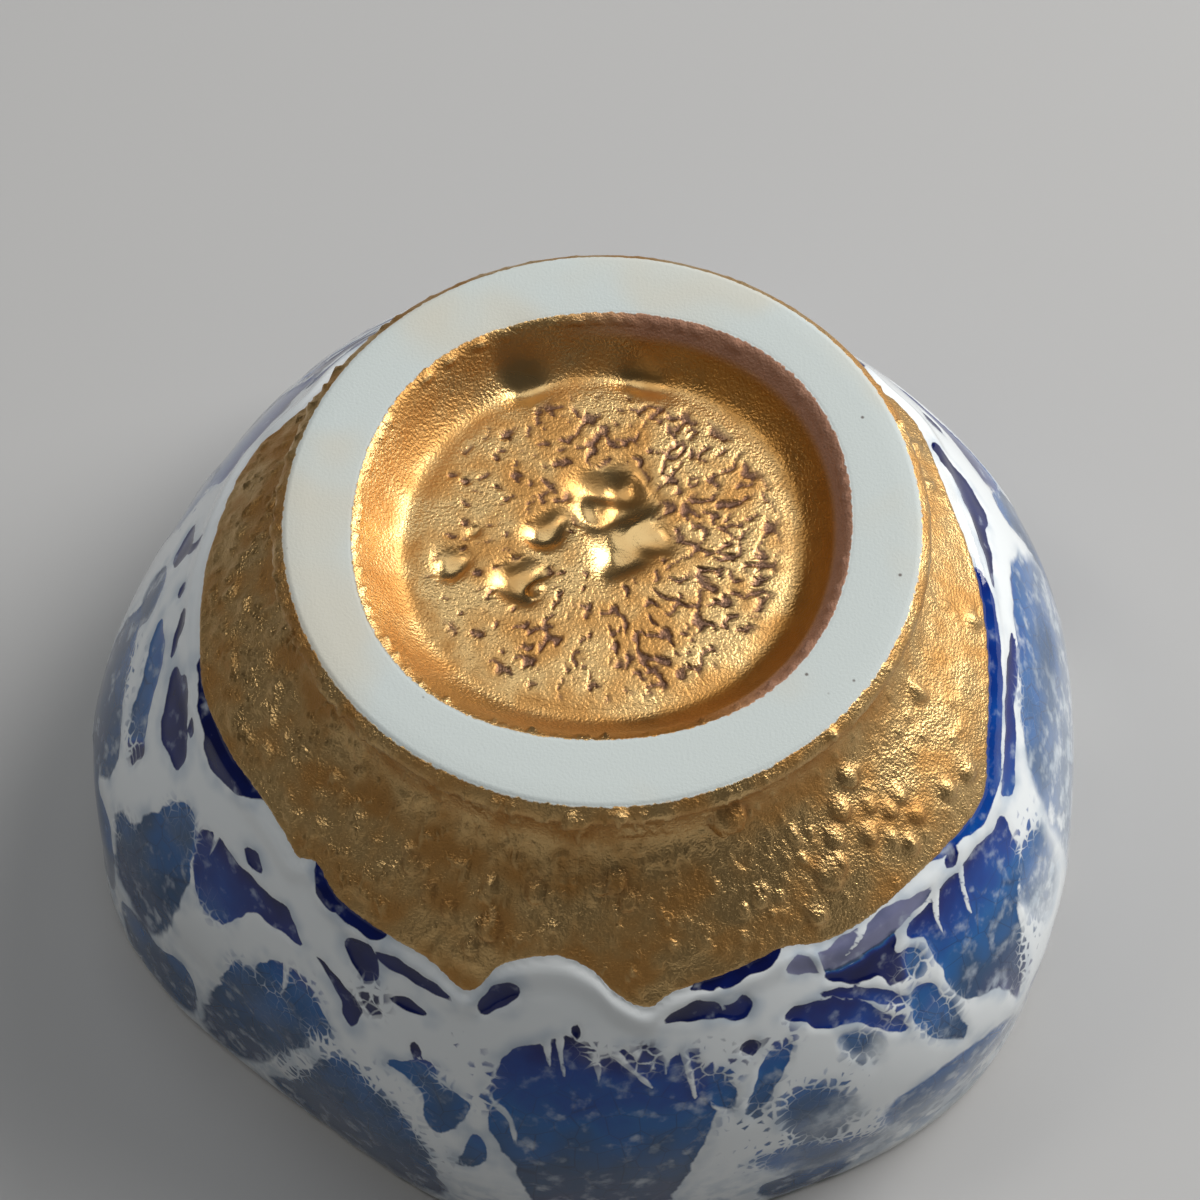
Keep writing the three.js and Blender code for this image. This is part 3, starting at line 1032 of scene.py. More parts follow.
    def ramp(self, factor: Socket, stops: list[tuple[float, tuple[float, float, float]]]) -> Socket:
        """Adds a colour ramp with the given stops."""
        node = self.node("ShaderNodeValToRGB")
        band = node.color_ramp.elements
        while len(band) < len(stops):
            band.new(0.5)
        for element, (position, colour) in zip(band, stops):
            element.position = position
            element.color = (*colour, 1.0)
        self.feed(node.inputs[0], factor)
        return node.outputs[0]

    def crawl(self, place: Socket, pitted: Socket) -> Socket:
        """Draws the short worm-like pits of lustre that has crawled in the fire.

        Args:
            place: Place on the object in millimetres.
            pitted: How thickly the pits lie.

        Returns:
            1 in the middle of a pit and 0 on the sound lustre.
        """
        line = self.math("ABSOLUTE", self.swing(place, 0.72, 1.0))
        thick = self.add(self.noise(place, 1.05, 1.0), self.times(pitted, 0.17))
        return self.times(self.fall(line, 0.02, 0.075), self.rise(thick, 0.57, 0.64))


@dataclass
class LustreRelief:
    """Geometry nodes that raise the relief of the lustre and settle the glaze.

    Every height is in millimetres.

    Attributes:
        drop_height: Height of the large fired drops on the lustre band.
        spatter_height: Height of the small drops between them.
        streak_height: Height of the streaks that ran before the lustre set.
        dimple_height: Height of the band's slow unevenness.
        crawl_depth: Depth of the breaks on the recess floor.
        grain_height: Height of the fine grain.
        mouth_height: Height of the beaded edge at the recess mouth.
        roll_height: Height of the glaze's roll along the lustre.
        edge_height: Height of the thin lustre line along the glaze.
        pool_depth: How far the pools settle below the lacing.
    """

    drop_height: float = 0.45
    spatter_height: float = 0.24
    streak_height: float = 0.24
    dimple_height: float = 0.07
    crawl_depth: float = 0.2
    grain_height: float = 0.035
    mouth_height: float = 0.3
    roll_height: float = 0.3
    edge_height: float = 0.12
    pool_depth: float = 0.12

    def inputs(self) -> dict[str, float]:
        """Names the tree's inputs and their values."""
        return {
            "Drop height": self.drop_height,
            "Spatter height": self.spatter_height,
            "Streak height": self.streak_height,
            "Dimple height": self.dimple_height,
            "Crawl depth": self.crawl_depth,
            "Grain height": self.grain_height,
            "Mouth bead height": self.mouth_height,
            "Glaze roll height": self.roll_height,
            "Lustre line height": self.edge_height,
            "Pool depth": self.pool_depth,
        }

    def tree(self, coat: bpy.types.Material, bowl: bpy.types.Material) -> bpy.types.NodeTree:
        """Builds the geometry tree.

        Args:
            coat: Material of the outside.
            bowl: Material of the bowl's inside.

        Returns:
            The tree, with a named input for each height.
        """
        tree = bpy.data.node_groups.new("lustre_relief", "GeometryNodeTree")
        tree.interface.new_socket("Geometry", in_out="INPUT", socket_type="NodeSocketGeometry")
        tree.interface.new_socket("Geometry", in_out="OUTPUT", socket_type="NodeSocketGeometry")
        for name, value in self.inputs().items():
            socket = tree.interface.new_socket(name, in_out="INPUT", socket_type="NodeSocketFloat")
            socket.default_value = value
        script = NodeScript(tree)
        given = script.node("NodeGroupInput").outputs
        place = script.vector("SCALE", script.node("GeometryNodeInputPosition").outputs[0], 1 / MM)
        smooth = script.fall(self.known(script, "hollow"), 0.05, 0.3)
        floor = script.times(self.known(script, "floor"), smooth)
        crawl = script.times(script.crawl(place, self.known(script, "pitted")), floor)
        height = self.height(script, given, place, crawl)
        shape = self.stored(script, given["Geometry"], "crawl", crawl)
        shape = self.stored(script, shape, "relief", height)
        moved = script.node("GeometryNodeSetPosition")
        script.feed(moved.inputs["Geometry"], shape)
        normal = script.node("GeometryNodeInputNormal").outputs[0]
        raised = script.times(self.known(script, "relief"), MM)
        script.feed(moved.inputs["Offset"], script.vector("SCALE", normal, raised))
        whole = script.node("GeometryNodeRealizeInstances")
        script.feed(whole.inputs["Geometry"], moved.outputs["Geometry"])
        dressed = self.dressed(script, whole.outputs["Geometry"], coat, None)
        dressed = self.dressed(script, dressed, bowl, self.known(script, "bowl"))
        script.feed(script.node("NodeGroupOutput").inputs[0], dressed)
        return tree

    def stored(self, script: NodeScript, shape: Socket, name: str, value: Socket) -> Socket:
        """Stores a number on the mesh's points, for the finishes to read."""
        node = script.node("GeometryNodeStoreNamedAttribute", data_type="FLOAT", domain="POINT")
        script.feed(node.inputs["Geometry"], shape)
        script.feed(node.inputs["Name"], name)
        script.feed(node.inputs["Value"], value)
        return node.outputs["Geometry"]

    def dressed(
        self, script: NodeScript, shape: Socket, material: bpy.types.Material, where: Socket | None,
    ) -> Socket:
        """Sets a material, on all faces or where a mask is over a half."""
        node = script.node("GeometryNodeSetMaterial")
        script.feed(node.inputs["Geometry"], shape)
        script.feed(node.inputs["Material"], material)
        if where is not None:
            script.feed(node.inputs["Selection"], script.math("GREATER_THAN", where, 0.5))
        return node.outputs["Geometry"]

    def known(self, script: NodeScript, name: str, kind: str = "FLOAT") -> Socket:
        """Reads a number, or a vector, that the mesh carries."""
        node = script.node("GeometryNodeInputNamedAttribute", data_type=kind)
        node.inputs["Name"].default_value = name
        return node.outputs["Attribute"]

    def height(self, script: NodeScript, given: object, place: Socket, crawl: Socket) -> Socket:
        """Adds up the relief.

        Args:
            script: Writes the nodes.
            given: Outputs of the tree's input node.
            place: Place on the object in millimetres.
            crawl: The breaks of the recess floor.

        Returns:
            How far each point moves along its normal, in millimetres.
        """
        lustre = self.known(script, "lustre")
        bare = self.known(script, "bare")
        recess = self.known(script, "recess")
        smooth = script.rise(self.known(script, "hollow"), 0.05, 0.3, 1.0, 0.15)
        gold = script.times(script.rise(lustre, 0.1, 0.6), script.fall(bare, -0.4, -0.1))
        band = script.times(gold, script.less(1.0, recess))
        runny = self.runny(script)
        beaded = script.times(band, script.rise(self.known(script, "beaded"), 0.0, 1.0, 0.3, 1.0))
        streaky = script.times(band, script.rise(self.known(script, "streaky"), 0.0, 1.0, 0.25, 1.0))
        glazed = script.fall(lustre, -0.6, -0.1)
        sunk = script.times(script.rise(self.known(script, "pool"), -0.3, 0.3), glazed)
        near_edge = script.times(script.rise(lustre, -0.05, 0.12), script.fall(lustre, 0.18, 0.5))
        terms = (
            (script.times(self.drops(script, runny, 0.5, 0.6), beaded), given["Drop height"]),
            (script.times(self.drops(script, runny, 1.15, 0.45), beaded), given["Spatter height"]),
            (script.times(self.streaks(script), streaky), given["Streak height"]),
            (script.times(self.dimples(script, runny), band), given["Dimple height"]),
            (script.times(script.times(self.grain(script, place), smooth), gold), given["Grain height"]),
            (script.times(self.mouth(script, place, bare), recess), given["Mouth bead height"]),
            (self.roll(script, lustre, bare), given["Glaze roll height"]),
            (near_edge, given["Lustre line height"]),
            (script.times(crawl, -1.0), given["Crawl depth"]),
            (script.times(sunk, -1.0), given["Pool depth"]),
        )
        total = script.times(*terms[0])
        for shape, amount in terms[1:]:
            total = script.add(total, script.times(shape, amount))
        return script.times(total, script.fall(self.known(script, "bowl"), 0.0, 0.5))

    def runny(self, script: NodeScript) -> Socket:
        """Reads the unrolled place, in which a length down the slope counts for less."""
        return script.vector("MULTIPLY", self.known(script, "unrolled", "FLOAT_VECTOR"), (1.0, 1.0, 0.6))

    def drops(self, script: NodeScript, place: Socket, density: float, rarity: float) -> Socket:
        """Raises scattered drops of several sizes.

        Args:
            script: Writes the nodes.
            place: Where they are read.
            density: Drops in a millimetre.
            rarity: Share of the places that stay bare.

        Returns:
            Their height, up to 1.
        """
        size = script.cells(place, density, "F1", "Color")
        random = script.node("ShaderNodeSeparateXYZ")
        script.feed(random.inputs[0], size)
        gap = script.cells(script.warped(place, 1.4, 0.35), density)
        reach = script.rise(random.outputs[0], rarity, 1.0, 0.0, 0.4)
        fall = script.math("DIVIDE", gap, script.math("MAXIMUM", reach, 0.02))
        dome = script.less(1.0, script.times(fall, fall), clamp=True)
        return script.times(dome, script.rise(reach, 0.02, 0.4, 0.2, 1.0))

    def streaks(self, script: NodeScript) -> Socket:
        """Raises short crests that lean across the slope."""
        unrolled = self.known(script, "unrolled", "FLOAT_VECTOR")
        turned = script.node("ShaderNodeVectorRotate", rotation_type="AXIS_ANGLE")
        script.feed(turned.inputs["Vector"], unrolled)
        turned.inputs["Axis"].default_value = (1.0, 0.3, 0.0)
        turned.inputs["Angle"].default_value = 0.7
        narrow = script.vector("MULTIPLY", turned.outputs[0], (1.0, 1.0, 0.45))
        crest = script.math("ABSOLUTE", script.swing(narrow, 0.85, 1.0))
        broken = script.rise(script.noise(unrolled, 0.6, 1.0), 0.42, 0.58)
        return script.times(script.fall(crest, 0.0, 0.09), broken)

    def dimples(self, script: NodeScript, place: Socket) -> Socket:
        """Raises the band's slow unevenness."""
        slow = script.swing(place, 0.22, 2.0)
        quick = script.swing(place, 0.85, 2.0)
        return script.add(slow, script.times(quick, 0.7))

    def grain(self, script: NodeScript, place: Socket) -> Socket:
        """Raises the fine grain that shows on the sound lustre, stronger in patches."""
        fine = script.swing(place, 1.9, 2.0)
        return script.times(fine, script.rise(script.noise(place, 0.25, 1.0), 0.35, 0.65, 0.5, 1.6))

    def mouth(self, script: NodeScript, place: Socket, bare: Socket) -> Socket:
        """Raises the beaded edge at the recess mouth."""
        near = script.times(script.rise(bare, -1.6, -0.9), script.fall(bare, -0.45, -0.15))
        beads = script.fall(script.cells(script.warped(place, 1.2, 0.5), 1.25), 0.15, 0.6)
        return script.times(near, beads)

    def roll(self, script: NodeScript, lustre: Socket, bare: Socket) -> Socket:
        """Raises the glaze's soft roll below the lustre's edge."""
        climb = script.fall(lustre, -0.9, -0.05)
        fade = script.rise(lustre, -2.9, -0.9, 0.0, 1.0)
        return script.times(script.times(climb, fade), script.fall(bare, -0.5, 0.0))

    def apply(self, cup: bpy.types.Object, coat: bpy.types.Material, bowl: bpy.types.Material) -> None:
        """Runs the tree on the cup and keeps the result as its plain mesh.

        Args:
            cup: The cup's object.
            coat: Material of the outside.
            bowl: Material of the bowl's inside.
        """
        tree = self.tree(coat, bowl)
        modifier = cup.modifiers.new("lustre_relief", "NODES")
        modifier.node_group = tree
        for item in tree.interface.items_tree:
            if item.item_type == "SOCKET" and item.in_out == "INPUT" and item.name in self.inputs():
                modifier[item.identifier] = self.inputs()[item.name]
        graph = bpy.context.evaluated_depsgraph_get()
        mesh = bpy.data.meshes.new_from_object(cup.evaluated_get(graph), depsgraph=graph)
        cup.modifiers.remove(modifier)
        plain = cup.data
        cup.data = mesh
        bpy.data.meshes.remove(plain)


@dataclass(frozen=True)
class LustreFinish:
    """Fired gold lustre: a painted highlight on its crests, painted shade in its hollows and round its
    beads, copper where it is thin, dark in its breaks.
    """

    # pale gold, also laid on the relief's crests as a painted highlight
    bright: Colour = (0.66, 0.44, 0.19, 1.0)
    thin: Colour = (0.52, 0.28, 0.09, 1.0)
    # painted shade, laid in the relief's hollows and round the beads
    painted_shade: Colour = (0.24, 0.11, 0.04, 1.0)
    broken: Colour = (0.12, 0.075, 0.08, 1.0)
    amber: Colour = (0.52, 0.24, 0.05, 1.0)
    worn: Colour = (0.42, 0.22, 0.14, 1.0)
    polished: float = 0.34
    dull: float = 0.52
    grain: float = 0.09


@dataclass(frozen=True)
class GlazeFinish:
    """Glossy white lacing over cobalt, with crazing and burst bubbles."""

    white: Colour = (0.78, 0.82, 0.84, 1.0)
    thin_white: Colour = (0.36, 0.45, 0.56, 1.0)
    craze: Colour = (0.01, 0.02, 0.06, 1.0)
    blues: tuple[Stop, ...] = (
        (0.0, (0.002, 0.005, 0.060)), (0.2, (0.002, 0.014, 0.15)), (0.4, (0.003, 0.050, 0.28)),
        # the slate stops at 0.72 and 0.86 are darkened partly as painted shade for the pools on the shaded
        # left side
        (0.56, (0.005, 0.105, 0.34)), (0.72, (0.022, 0.070, 0.165)), (0.86, (0.050, 0.070, 0.150)),
        # lavender, also used for the painted sky reflection
        (1.0, (0.19, 0.20, 0.33)),
    )
    gloss: float = 0.07
    specular: float = 0.4


@dataclass(frozen=True)
class ClayFinish:
    """Bare fired porcelain of the ground foot ring."""

    clay: Colour = (0.53, 0.58, 0.57, 1.0)
    warm: Colour = (0.56, 0.55, 0.48, 1.0)
    speck: Colour = (0.12, 0.10, 0.09, 1.0)
    roughness: float = 0.72
    grain: float = 0.02


@dataclass
class CupFinishes:
    """Builds the cup's two materials from its finishes."""

    lustre: LustreFinish = LustreFinish()
    glaze: GlazeFinish = GlazeFinish()
    clay: ClayFinish = ClayFinish()

    def group(self, name: str, outputs: dict[str, str]) -> tuple[NodeScript, Socket, bpy.types.Node]:
        """Starts a shader group that reads the place on the object.

        Args:
            name: The group's name.
            outputs: Name and socket type of each output.

        Returns:
            The script, the place in millimetres and the output node.
        """
        tree = bpy.data.node_groups.new(name, "ShaderNodeTree")
        for title, kind in outputs.items():
            tree.interface.new_socket(title, in_out="OUTPUT", socket_type=kind)
        script = NodeScript(tree)
        place = script.vector("SCALE", script.node("ShaderNodeTexCoord").outputs["Object"], 1 / MM)
        return script, place, script.node("NodeGroupOutput")

    def known(self, script: NodeScript, name: str) -> Socket:
        """Reads a number that the mesh carries."""
        return script.node("ShaderNodeAttribute", attribute_name=name).outputs["Fac"]

    def lustre_group(self) -> bpy.types.NodeTree:
        """Builds the lustre's colour and roughness."""
        outputs = {"Color": "NodeSocketColor", "Roughness": "NodeSocketFloat"}
        script, place, out = self.group("lustre_finish", outputs)
        finish = self.lustre
        cloud = script.noise(place, 0.3, 2.0)
        relief = self.known(script, "relief")
        colour = script.mix(script.rise(cloud, 0.35, 0.68), finish.bright, finish.thin)
        # painted highlight: the relief's crests turn pale gold
        colour = script.mix(script.rise(relief, 0.05, 0.28, 0.0, 0.8), colour, finish.bright)
        # painted shade: the relief's hollows darken
        colour = script.mix(script.rise(relief, -0.16, 0.0, 0.75, 0.0), colour, finish.painted_shade)
        # painted shade line round each bead
        colour = script.mix(script.times(self.known(script, "painted_bead_shade"), 0.4), colour, finish.painted_shade)
        colour = script.mix(script.times(self.known(script, "crawl"), 0.6), colour, finish.broken)
        colour = script.mix(script.times(self.known(script, "amber"), 0.85), colour, finish.amber)
        worn = self.known(script, "worn")
        colour = script.mix(worn, colour, finish.worn)
        clouded = script.rise(cloud, 0.35, 0.65, finish.polished, finish.dull)
        roughness = script.add(clouded, script.times(worn, 0.2))
        smooth = script.rise(self.known(script, "hollow"), 0.05, 0.4, 1.0, 0.6)
        script.feed(out.inputs["Color"], colour)
        script.feed(out.inputs["Roughness"], script.times(roughness, smooth))
        return script.tree

    def glaze_group(self) -> bpy.types.NodeTree:
        """Builds the marbled glaze's colour."""
        script, place, out = self.group("marbled_glaze", {"Color": "NodeSocketColor"})
        finish = self.glaze
        depth, mist, tone = (self.known(script, name) for name in ("pool", "mist", "tone"))
        mottle = script.noise(place, 0.7, 3.0)
        ragged = script.less(mottle, 0.5)
        soft = script.rise(mist, 0.1, 0.9, 0.06, 1.1)
        inside = script.add(depth, script.times(ragged, script.blend(mist, 0.2, 2.2)))
        pool = script.rise(inside, script.times(soft, -1.0), soft)
        fleck = script.rise(script.add(mottle, script.times(mist, 0.22)), 0.56, 0.86, 0.0, 0.7)
        clear = script.less(script.rise(mist, 0.3, 0.8, 1.0, 0.55), fleck, clamp=True)
        pool = script.times(pool, clear)
        drift = script.swing(place, 0.35, 2.0)
        blue = script.ramp(script.add(tone, script.times(drift, 0.4)), finish.blues)
        craze = script.cells(place, 0.5, "DISTANCE_TO_EDGE")
        azure = script.times(script.rise(tone, 0.25, 0.6), script.fall(tone, 0.88, 0.97))
        crazed = script.times(script.rise(craze, 0.0, 0.03, 0.5, 0.0), azure)
        blue = script.mix(crazed, blue, finish.craze)
        thin = script.times(script.rise(depth, -1.5, 0.1), script.rise(drift, -0.14, 0.18))
        low = script.node("ShaderNodeSeparateXYZ")
        script.feed(low.inputs[0], place)
        low_down = script.rise(low.outputs[2], 1.0, 13.0, 0.85, 0.0)
        veil = script.times(low_down, script.fall(mottle, 0.34, 0.62))
        veil = script.math("MAXIMUM", script.times(thin, 0.7), veil)
        white = script.mix(veil, finish.white, finish.thin_white)
        froth = self.known(script, "froth")
        run = script.vector("ADD", place, script.vector("SCALE", (0.7, 0.6, 0.8), ragged))
        thread = script.rise(depth, -1.8, 1.1, 0.36, -0.06)
        hole = script.less(script.cells(run, 1.15, "DISTANCE_TO_EDGE"), thread)
        pool = script.blend(froth, pool, script.rise(hole, -0.07, 0.1, 0.0, 0.95))
        script.feed(out.inputs["Color"], script.mix(pool, white, blue))
        return script.tree

    def clay_group(self) -> bpy.types.NodeTree:
        """Builds the bare ring's colour."""
        script, place, out = self.group("bare_porcelain", {"Color": "NodeSocketColor"})
        finish = self.clay
        cloud = script.rise(script.noise(place, 0.09, 2.0), 0.45, 0.7)
        colour = script.mix(cloud, finish.clay, finish.warm)
        speck = script.fall(script.cells(place, 0.35), 0.02, 0.06)
        script.feed(out.inputs["Color"], script.mix(script.times(speck, 0.9), colour, finish.speck))
        return script.tree

    def edges_group(self) -> bpy.types.NodeTree:
        """Builds the masks of the lustre and of the bare ring, with grainy edges."""
        outputs = {"Lustre": "NodeSocketFloat", "Bare": "NodeSocketFloat"}
        script, place, out = self.group("coat_edges", outputs)
        nibble = script.swing(place, 2.2, 3.0)
        lustre = script.add(self.known(script, "lustre"), script.times(nibble, 0.3))
        bare = script.add(self.known(script, "bare"), script.times(nibble, 0.4))
        script.feed(out.inputs["Lustre"], script.rise(lustre, -0.03, 0.03))
        script.feed(out.inputs["Bare"], script.rise(bare, -0.04, 0.04))
        return script.tree

    def grain_group(self) -> bpy.types.NodeTree:
        """Builds the fine grain's height: strong on the lustre, faint on the clay, none on the glaze."""
        script, place, out = self.group("fired_grain", {"Height": "NodeSocketFloat"})
        lustre = script.rise(self.known(script, "lustre"), 0.0, 0.15, 0.0, self.lustre.grain)
        smooth = script.rise(self.known(script, "hollow"), 0.05, 0.3, 1.0, 0.2)
        bare = script.rise(self.known(script, "bare"), -0.05, 0.1)
        amount = script.blend(bare, script.times(lustre, smooth), self.clay.grain)
        script.feed(out.inputs["Height"], script.times(script.noise(place, 5.0, 2.0), amount))
        return script.tree

    def placed(self, script: NodeScript, tree: bpy.types.NodeTree) -> bpy.types.NodeOutputs:
        """Places a group in a material and gives its outputs."""
        return script.node("ShaderNodeGroup", node_tree=tree).outputs

    def started(self, name: str) -> tuple[bpy.types.Material, NodeScript, bpy.types.Node]:
        """Starts a material and gives it with its script and its shader."""
        material = bpy.data.materials.new(name)
        material.use_nodes = True
        return material, NodeScript(material.node_tree), material.node_tree.nodes["Principled BSDF"]

    def coat(self) -> bpy.types.Material:
        """Builds the outside's material, with every finish where it lies."""
        material, script, shader = self.started("fired_coats")
        lustre = self.placed(script, self.lustre_group())
        glaze = self.placed(script, self.glaze_group())
        clay = self.placed(script, self.clay_group())
        edges = self.placed(script, self.edges_group())
        grain = self.placed(script, self.grain_group())
        colour = script.mix(edges["Lustre"], glaze["Color"], lustre["Color"])
        roughness = script.blend(edges["Lustre"], self.glaze.gloss, lustre["Roughness"])
        shader.inputs["Specular IOR Level"].default_value = self.glaze.specular
        bump = script.node("ShaderNodeBump")
        bump.inputs["Distance"].default_value = MM
        script.feed(bump.inputs["Height"], grain["Height"])
        script.feed(shader.inputs["Base Color"], script.mix(edges["Bare"], colour, clay["Color"]))
        script.feed(shader.inputs["Roughness"], script.blend(edges["Bare"], roughness, self.clay.roughness))
        metal = script.times(edges["Lustre"], script.less(1.0, edges["Bare"]))
        matte = script.rise(self.known(script, "worn"), 0.0, 1.0, 1.0, 0.35)
        script.feed(shader.inputs["Metallic"], script.times(metal, matte))
        script.feed(shader.inputs["Normal"], bump.outputs["Normal"])
        return material

    def bowl(self) -> bpy.types.Material:
        """Builds the plain pale glaze of the bowl's inside."""
        material, script, shader = self.started("bowl_glaze")
        place = script.vector("SCALE", script.node("ShaderNodeTexCoord").outputs["Object"], 1 / MM)
        cloud = script.rise(script.noise(script.warped(place, 0.1, 5.0), 0.08, 4.0), 0.5, 0.75)
        colour = script.mix(script.times(cloud, 0.5), self.glaze.white, self.glaze.thin_white)
        script.feed(shader.inputs["Base Color"], colour)
        shader.inputs["Roughness"].default_value = self.glaze.gloss
        return material


@dataclass
class SakeCup:
    """The finished cup: its form, coats and finishes, joined in one closed mesh.

    Attributes:
        form: Its form.
        glaze: Its marbled glaze.
        lustre: Its gold lustre.
        relief: The relief of both.
        finishes: Its materials.
        margin: Space left round each flat layout, as a share of the whole.
    """

    form: CupForm
    glaze: MarbledGlaze
    lustre: LustreCoat
    relief: LustreRelief
    finishes: CupFinishes
    margin: float = 0.012

    def build(self) -> bpy.types.Object:
        """Makes the cup's mesh and dresses it.

        Returns:
            The cup's object, at the origin.
        """
        surface = self.form.surface()
        mesh = bpy.data.meshes.new("sake_cup_form")
        mesh.from_pydata((surface.places * MM).tolist(), [], self.faces(surface.rings))
        self.face_outwards(mesh)
        self.note(mesh, surface)
        self.lay_flat(mesh, surface)
        mesh.shade_smooth()
        cup = bpy.data.objects.new("cup_body", mesh)
        bpy.context.scene.collection.objects.link(cup)
        self.relief.apply(cup, self.finishes.coat(), self.finishes.bowl())
        return cup

    def faces(self, rings: list[tuple[int, int]]) -> list[tuple[int, ...]]:
        """Joins each ring to the next, also where one has twice as many points.

        Args:
            rings: First point of each ring and how many points it has.

        Returns:
            The faces, as point numbers.
        """
        faces: list[tuple[int, ...]] = []
        for (start, count), (after, size) in zip(rings, rings[1:]):
            few, many = min(count, size), max(count, size)
            thin, dense = (start, after) if count <= size else (after, start)
            for step in range(few if few > 1 else many):
                if few == 1:
                    faces.append((thin, dense + step, dense + (step + 1) % many))
                    continue
                here, there = thin + step, thin + (step + 1) % few
                if few == many:
                    faces.append((here, there, dense + (step + 1) % many, dense + step))
                else:
                    first, second, third = (dense + (2 * step + extra) % many for extra in range(3))
                    faces.extend([(here, second, first), (here, there, second), (there, third, second)])
        return faces

    def face_outwards(self, mesh: bpy.types.Mesh) -> None:
        """Turns every face of the closed mesh outwards."""
        shape = bmesh.new()
        shape.from_mesh(mesh)
        bmesh.ops.recalc_face_normals(shape, faces=shape.faces)
        shape.to_mesh(mesh)
        shape.free()

    def note(self, mesh: bpy.types.Mesh, surface: Surface) -> None:
        """Stores on the mesh what the relief and the finishes read.

        Args:
            mesh: The cup's mesh.
            surface: The points that it was made from.
        """
        numbers = {**self.lustre.fields(surface, self.form), **self.glaze.fields(surface)}
        numbers["bowl"] = surface.on(Skin.INSIDE).astype(float)
        for name, values in numbers.items():
            mesh.attributes.new(name, "FLOAT", "POINT").data.foreach_set("value", values.astype(np.float32))
        angle = np.radians(surface.turn)
        round_radius = self.glaze.reference
        around = round_radius * np.stack([np.cos(angle), np.sin(angle)])
        unrolled = np.stack([*around, surface.along], axis=1)
        vectors = mesh.attributes.new("unrolled", "FLOAT_VECTOR", "POINT").data
        vectors.foreach_set("vector", unrolled.astype(np.float32).ravel())

    def lay_flat(self, mesh: bpy.types.Mesh, surface: Surface) -> None:
        """Lays the surface flat in a map: two strips of the outside, then the foot and the bowl as discs.

        Args:
            mesh: The cup's mesh.
            surface: The points that it was made from.
        """
        corners = np.zeros(len(mesh.loops), np.int32)
        mesh.loops.foreach_get("vertex_index", corners)
        starts = np.zeros(len(mesh.polygons), np.int32)
        sizes = np.zeros(len(mesh.polygons), np.int32)
        mesh.polygons.foreach_get("loop_start", starts)
        mesh.polygons.foreach_get("loop_total", sizes)
        owner = np.repeat(np.arange(len(starts)), sizes)
        turn, along = surface.turn[corners], surface.along[corners]
        first = turn[starts][owner]
        turn = (turn - first + 180) % 360 - 180 + first
        middle = np.bincount(owner, turn) / sizes
        turn = turn + np.where(middle > 180, -360, np.where(middle < -180, 360, 0))[owner]
        back = (np.bincount(owner, turn) / sizes)[owner] > 0
        length = (np.bincount(owner, along) / sizes)[owner]
        outside = surface.along[surface.on(Skin.OUTSIDE)]
        top, rim, end = outside.min(), outside.max(), surface.along.max()
        share = (along - top) / (rim - top)
        strip_u = self.margin + (1 - 2 * self.margin) * (turn / 180 + np.where(back, 0, 1))
        strip_v = np.where(back, 0.335, 0.67) + self.margin + (0.33 - 2 * self.margin) * share
        angle = np.radians(turn)
        on_foot = length < top
        reach = (0.165 - self.margin) * np.where(on_foot, along / top, (end - along) / (end - rim))
        disc_u = np.where(on_foot, 0.17, 0.51) + reach * np.cos(angle)
        disc_v = 0.167 + reach * np.sin(angle)
        strip = (length >= top) & (length <= rim)
        flat = np.stack([np.where(strip, strip_u, disc_u), np.where(strip, strip_v, disc_v)], axis=1)
        mesh.uv_layers.new(name="OFBake").data.foreach_set("uv", flat.astype(np.float32).ravel())


@dataclass(frozen=True)
class Lamp:
    """A square soft light: its name, place and side in metres, power in watts and colour."""

    name: str
    place: tuple[float, float, float]
    side: float
    power: float
    tint: tuple[float, float, float]


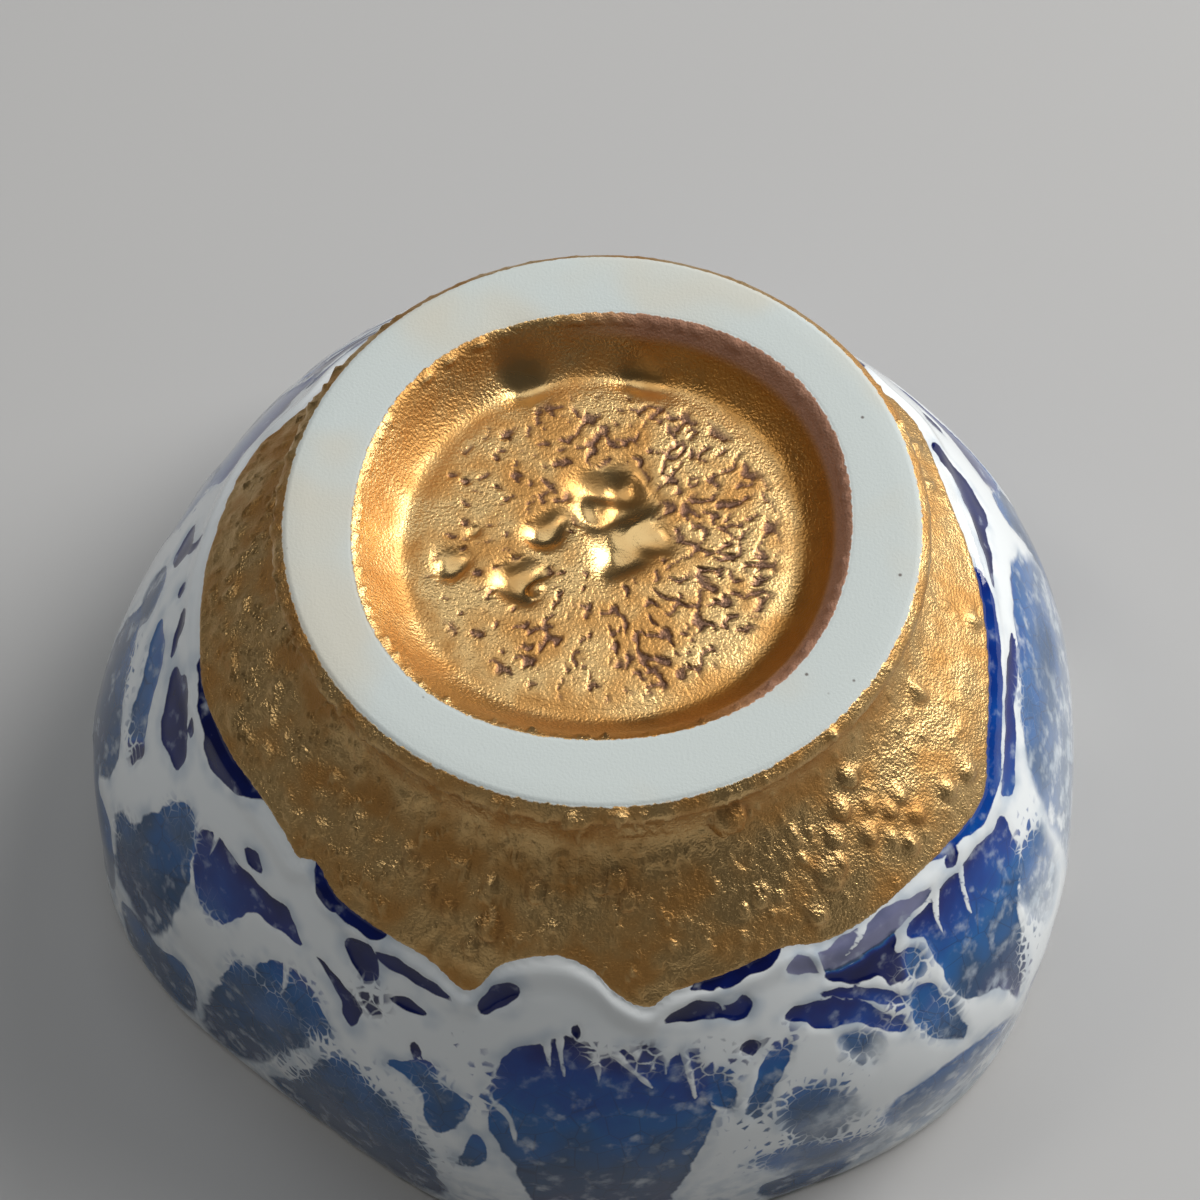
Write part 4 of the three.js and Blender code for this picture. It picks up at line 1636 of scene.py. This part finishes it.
@dataclass
class Studio:
    """A pale floor, soft light and the camera, in metres.

    Attributes:
        eye: Place of the camera.
        elevation: How steeply it looks down, in degrees.
        lens: Its focal length in millimetres.
        sensor: Width of its sensor in millimetres.
        near: Nearest distance that it sees.
        floor_side: Side of the floor.
        floor_grey: Grey of the floor.
        floor_roughness: Roughness of the floor.
        aim: Point that the lamps face.
        lamps: The lamps.
        sky_grey: Grey of the light from all around.
        sky_strength: Its strength.
    """

    eye: tuple[float, float, float] = (0.001245, -0.115788, 0.231834)
    elevation: float = 60.56
    lens: float = 101.64
    sensor: float = 36.0
    near: float = 0.01
    floor_side: float = 2.4
    floor_grey: Colour = (0.44, 0.44, 0.44, 1.0)
    floor_roughness: float = 0.7
    aim: tuple[float, float, float] = (0.0, 0.0, 0.03)
    lamps: tuple[Lamp, ...] = (
        Lamp("window", (0.58, 0.30, 0.52), 0.55, 8.4, (1.0, 0.98, 0.95)),
        Lamp("overhead", (-0.12, 0.22, 0.8), 0.6, 1.4, (0.9, 0.95, 1.0)),
        Lamp("room", (-0.35, -0.8, 0.3), 0.5, 0.25, (1.0, 0.94, 0.86)),
        Lamp("glint", (-0.38, 0.06, 0.6), 0.16, 0.55, (1.0, 0.96, 0.9)),
    )
    sky_grey: Colour = (0.86, 0.86, 0.86, 1.0)
    sky_strength: float = 0.08

    def camera(self) -> None:
        """Sets the camera at the photograph's viewing angle."""
        data = bpy.data.cameras.new("view")
        data.lens = self.lens
        data.sensor_width = self.sensor
        data.clip_start = self.near
        camera = bpy.data.objects.new("view", data)
        camera.location = self.eye
        camera.rotation_euler = (math.radians(90 - self.elevation), 0, 0)
        bpy.context.scene.collection.objects.link(camera)
        bpy.context.scene.camera = camera

    def floor(self) -> None:
        """Lays the pale floor."""
        half = self.floor_side / 2
        mesh = bpy.data.meshes.new("floor")
        corners = [(-half, -half, 0), (half, -half, 0), (half, half, 0), (-half, half, 0)]
        mesh.from_pydata(corners, [], [(0, 1, 2, 3)])
        floor = bpy.data.objects.new("floor", mesh)
        material = bpy.data.materials.new("pale_floor")
        material.use_nodes = True
        shader = material.node_tree.nodes["Principled BSDF"]
        shader.inputs["Base Color"].default_value = self.floor_grey
        shader.inputs["Roughness"].default_value = self.floor_roughness
        mesh.materials.append(material)
        bpy.context.scene.collection.objects.link(floor)

    def hang(self, lamp: Lamp) -> None:
        """Hangs a lamp so that it faces the cup."""
        data = bpy.data.lights.new(lamp.name, "AREA")
        data.size = lamp.side
        data.energy = lamp.power
        data.color = lamp.tint
        light = bpy.data.objects.new(lamp.name, data)
        light.location = lamp.place
        light.rotation_euler = (Vector(self.aim) - Vector(lamp.place)).to_track_quat("-Z", "Y").to_euler()
        bpy.context.scene.collection.objects.link(light)

    def lights(self) -> None:
        """Lights the cup from a wide window side, with weak lamps overhead, in front and at the left."""
        for lamp in self.lamps:
            self.hang(lamp)
        world = bpy.data.worlds.new("studio")
        world.use_nodes = True
        sky = world.node_tree.nodes["Background"]
        sky.inputs["Color"].default_value = self.sky_grey
        sky.inputs["Strength"].default_value = self.sky_strength
        bpy.context.scene.world = world
        bpy.context.scene.view_settings.view_transform = "Standard"


def main() -> None:
    """Builds the studio and the cup in order and reports each piece."""
    logging.basicConfig(level=logging.INFO, format="%(name)s: %(message)s")
    studio = Studio()
    studio.camera()
    studio.floor()
    studio.lights()
    cup = SakeCup(CupForm(), MarbledGlaze(), LustreCoat(), LustreRelief(), CupFinishes()).build()
    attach(cup, BODY)
    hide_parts(NODE)
    cup.data.calc_loop_triangles()
    LOG.info("%s: %d triangles", cup.name, len(cup.data.loop_triangles))


if __name__ == "__main__":
    main()
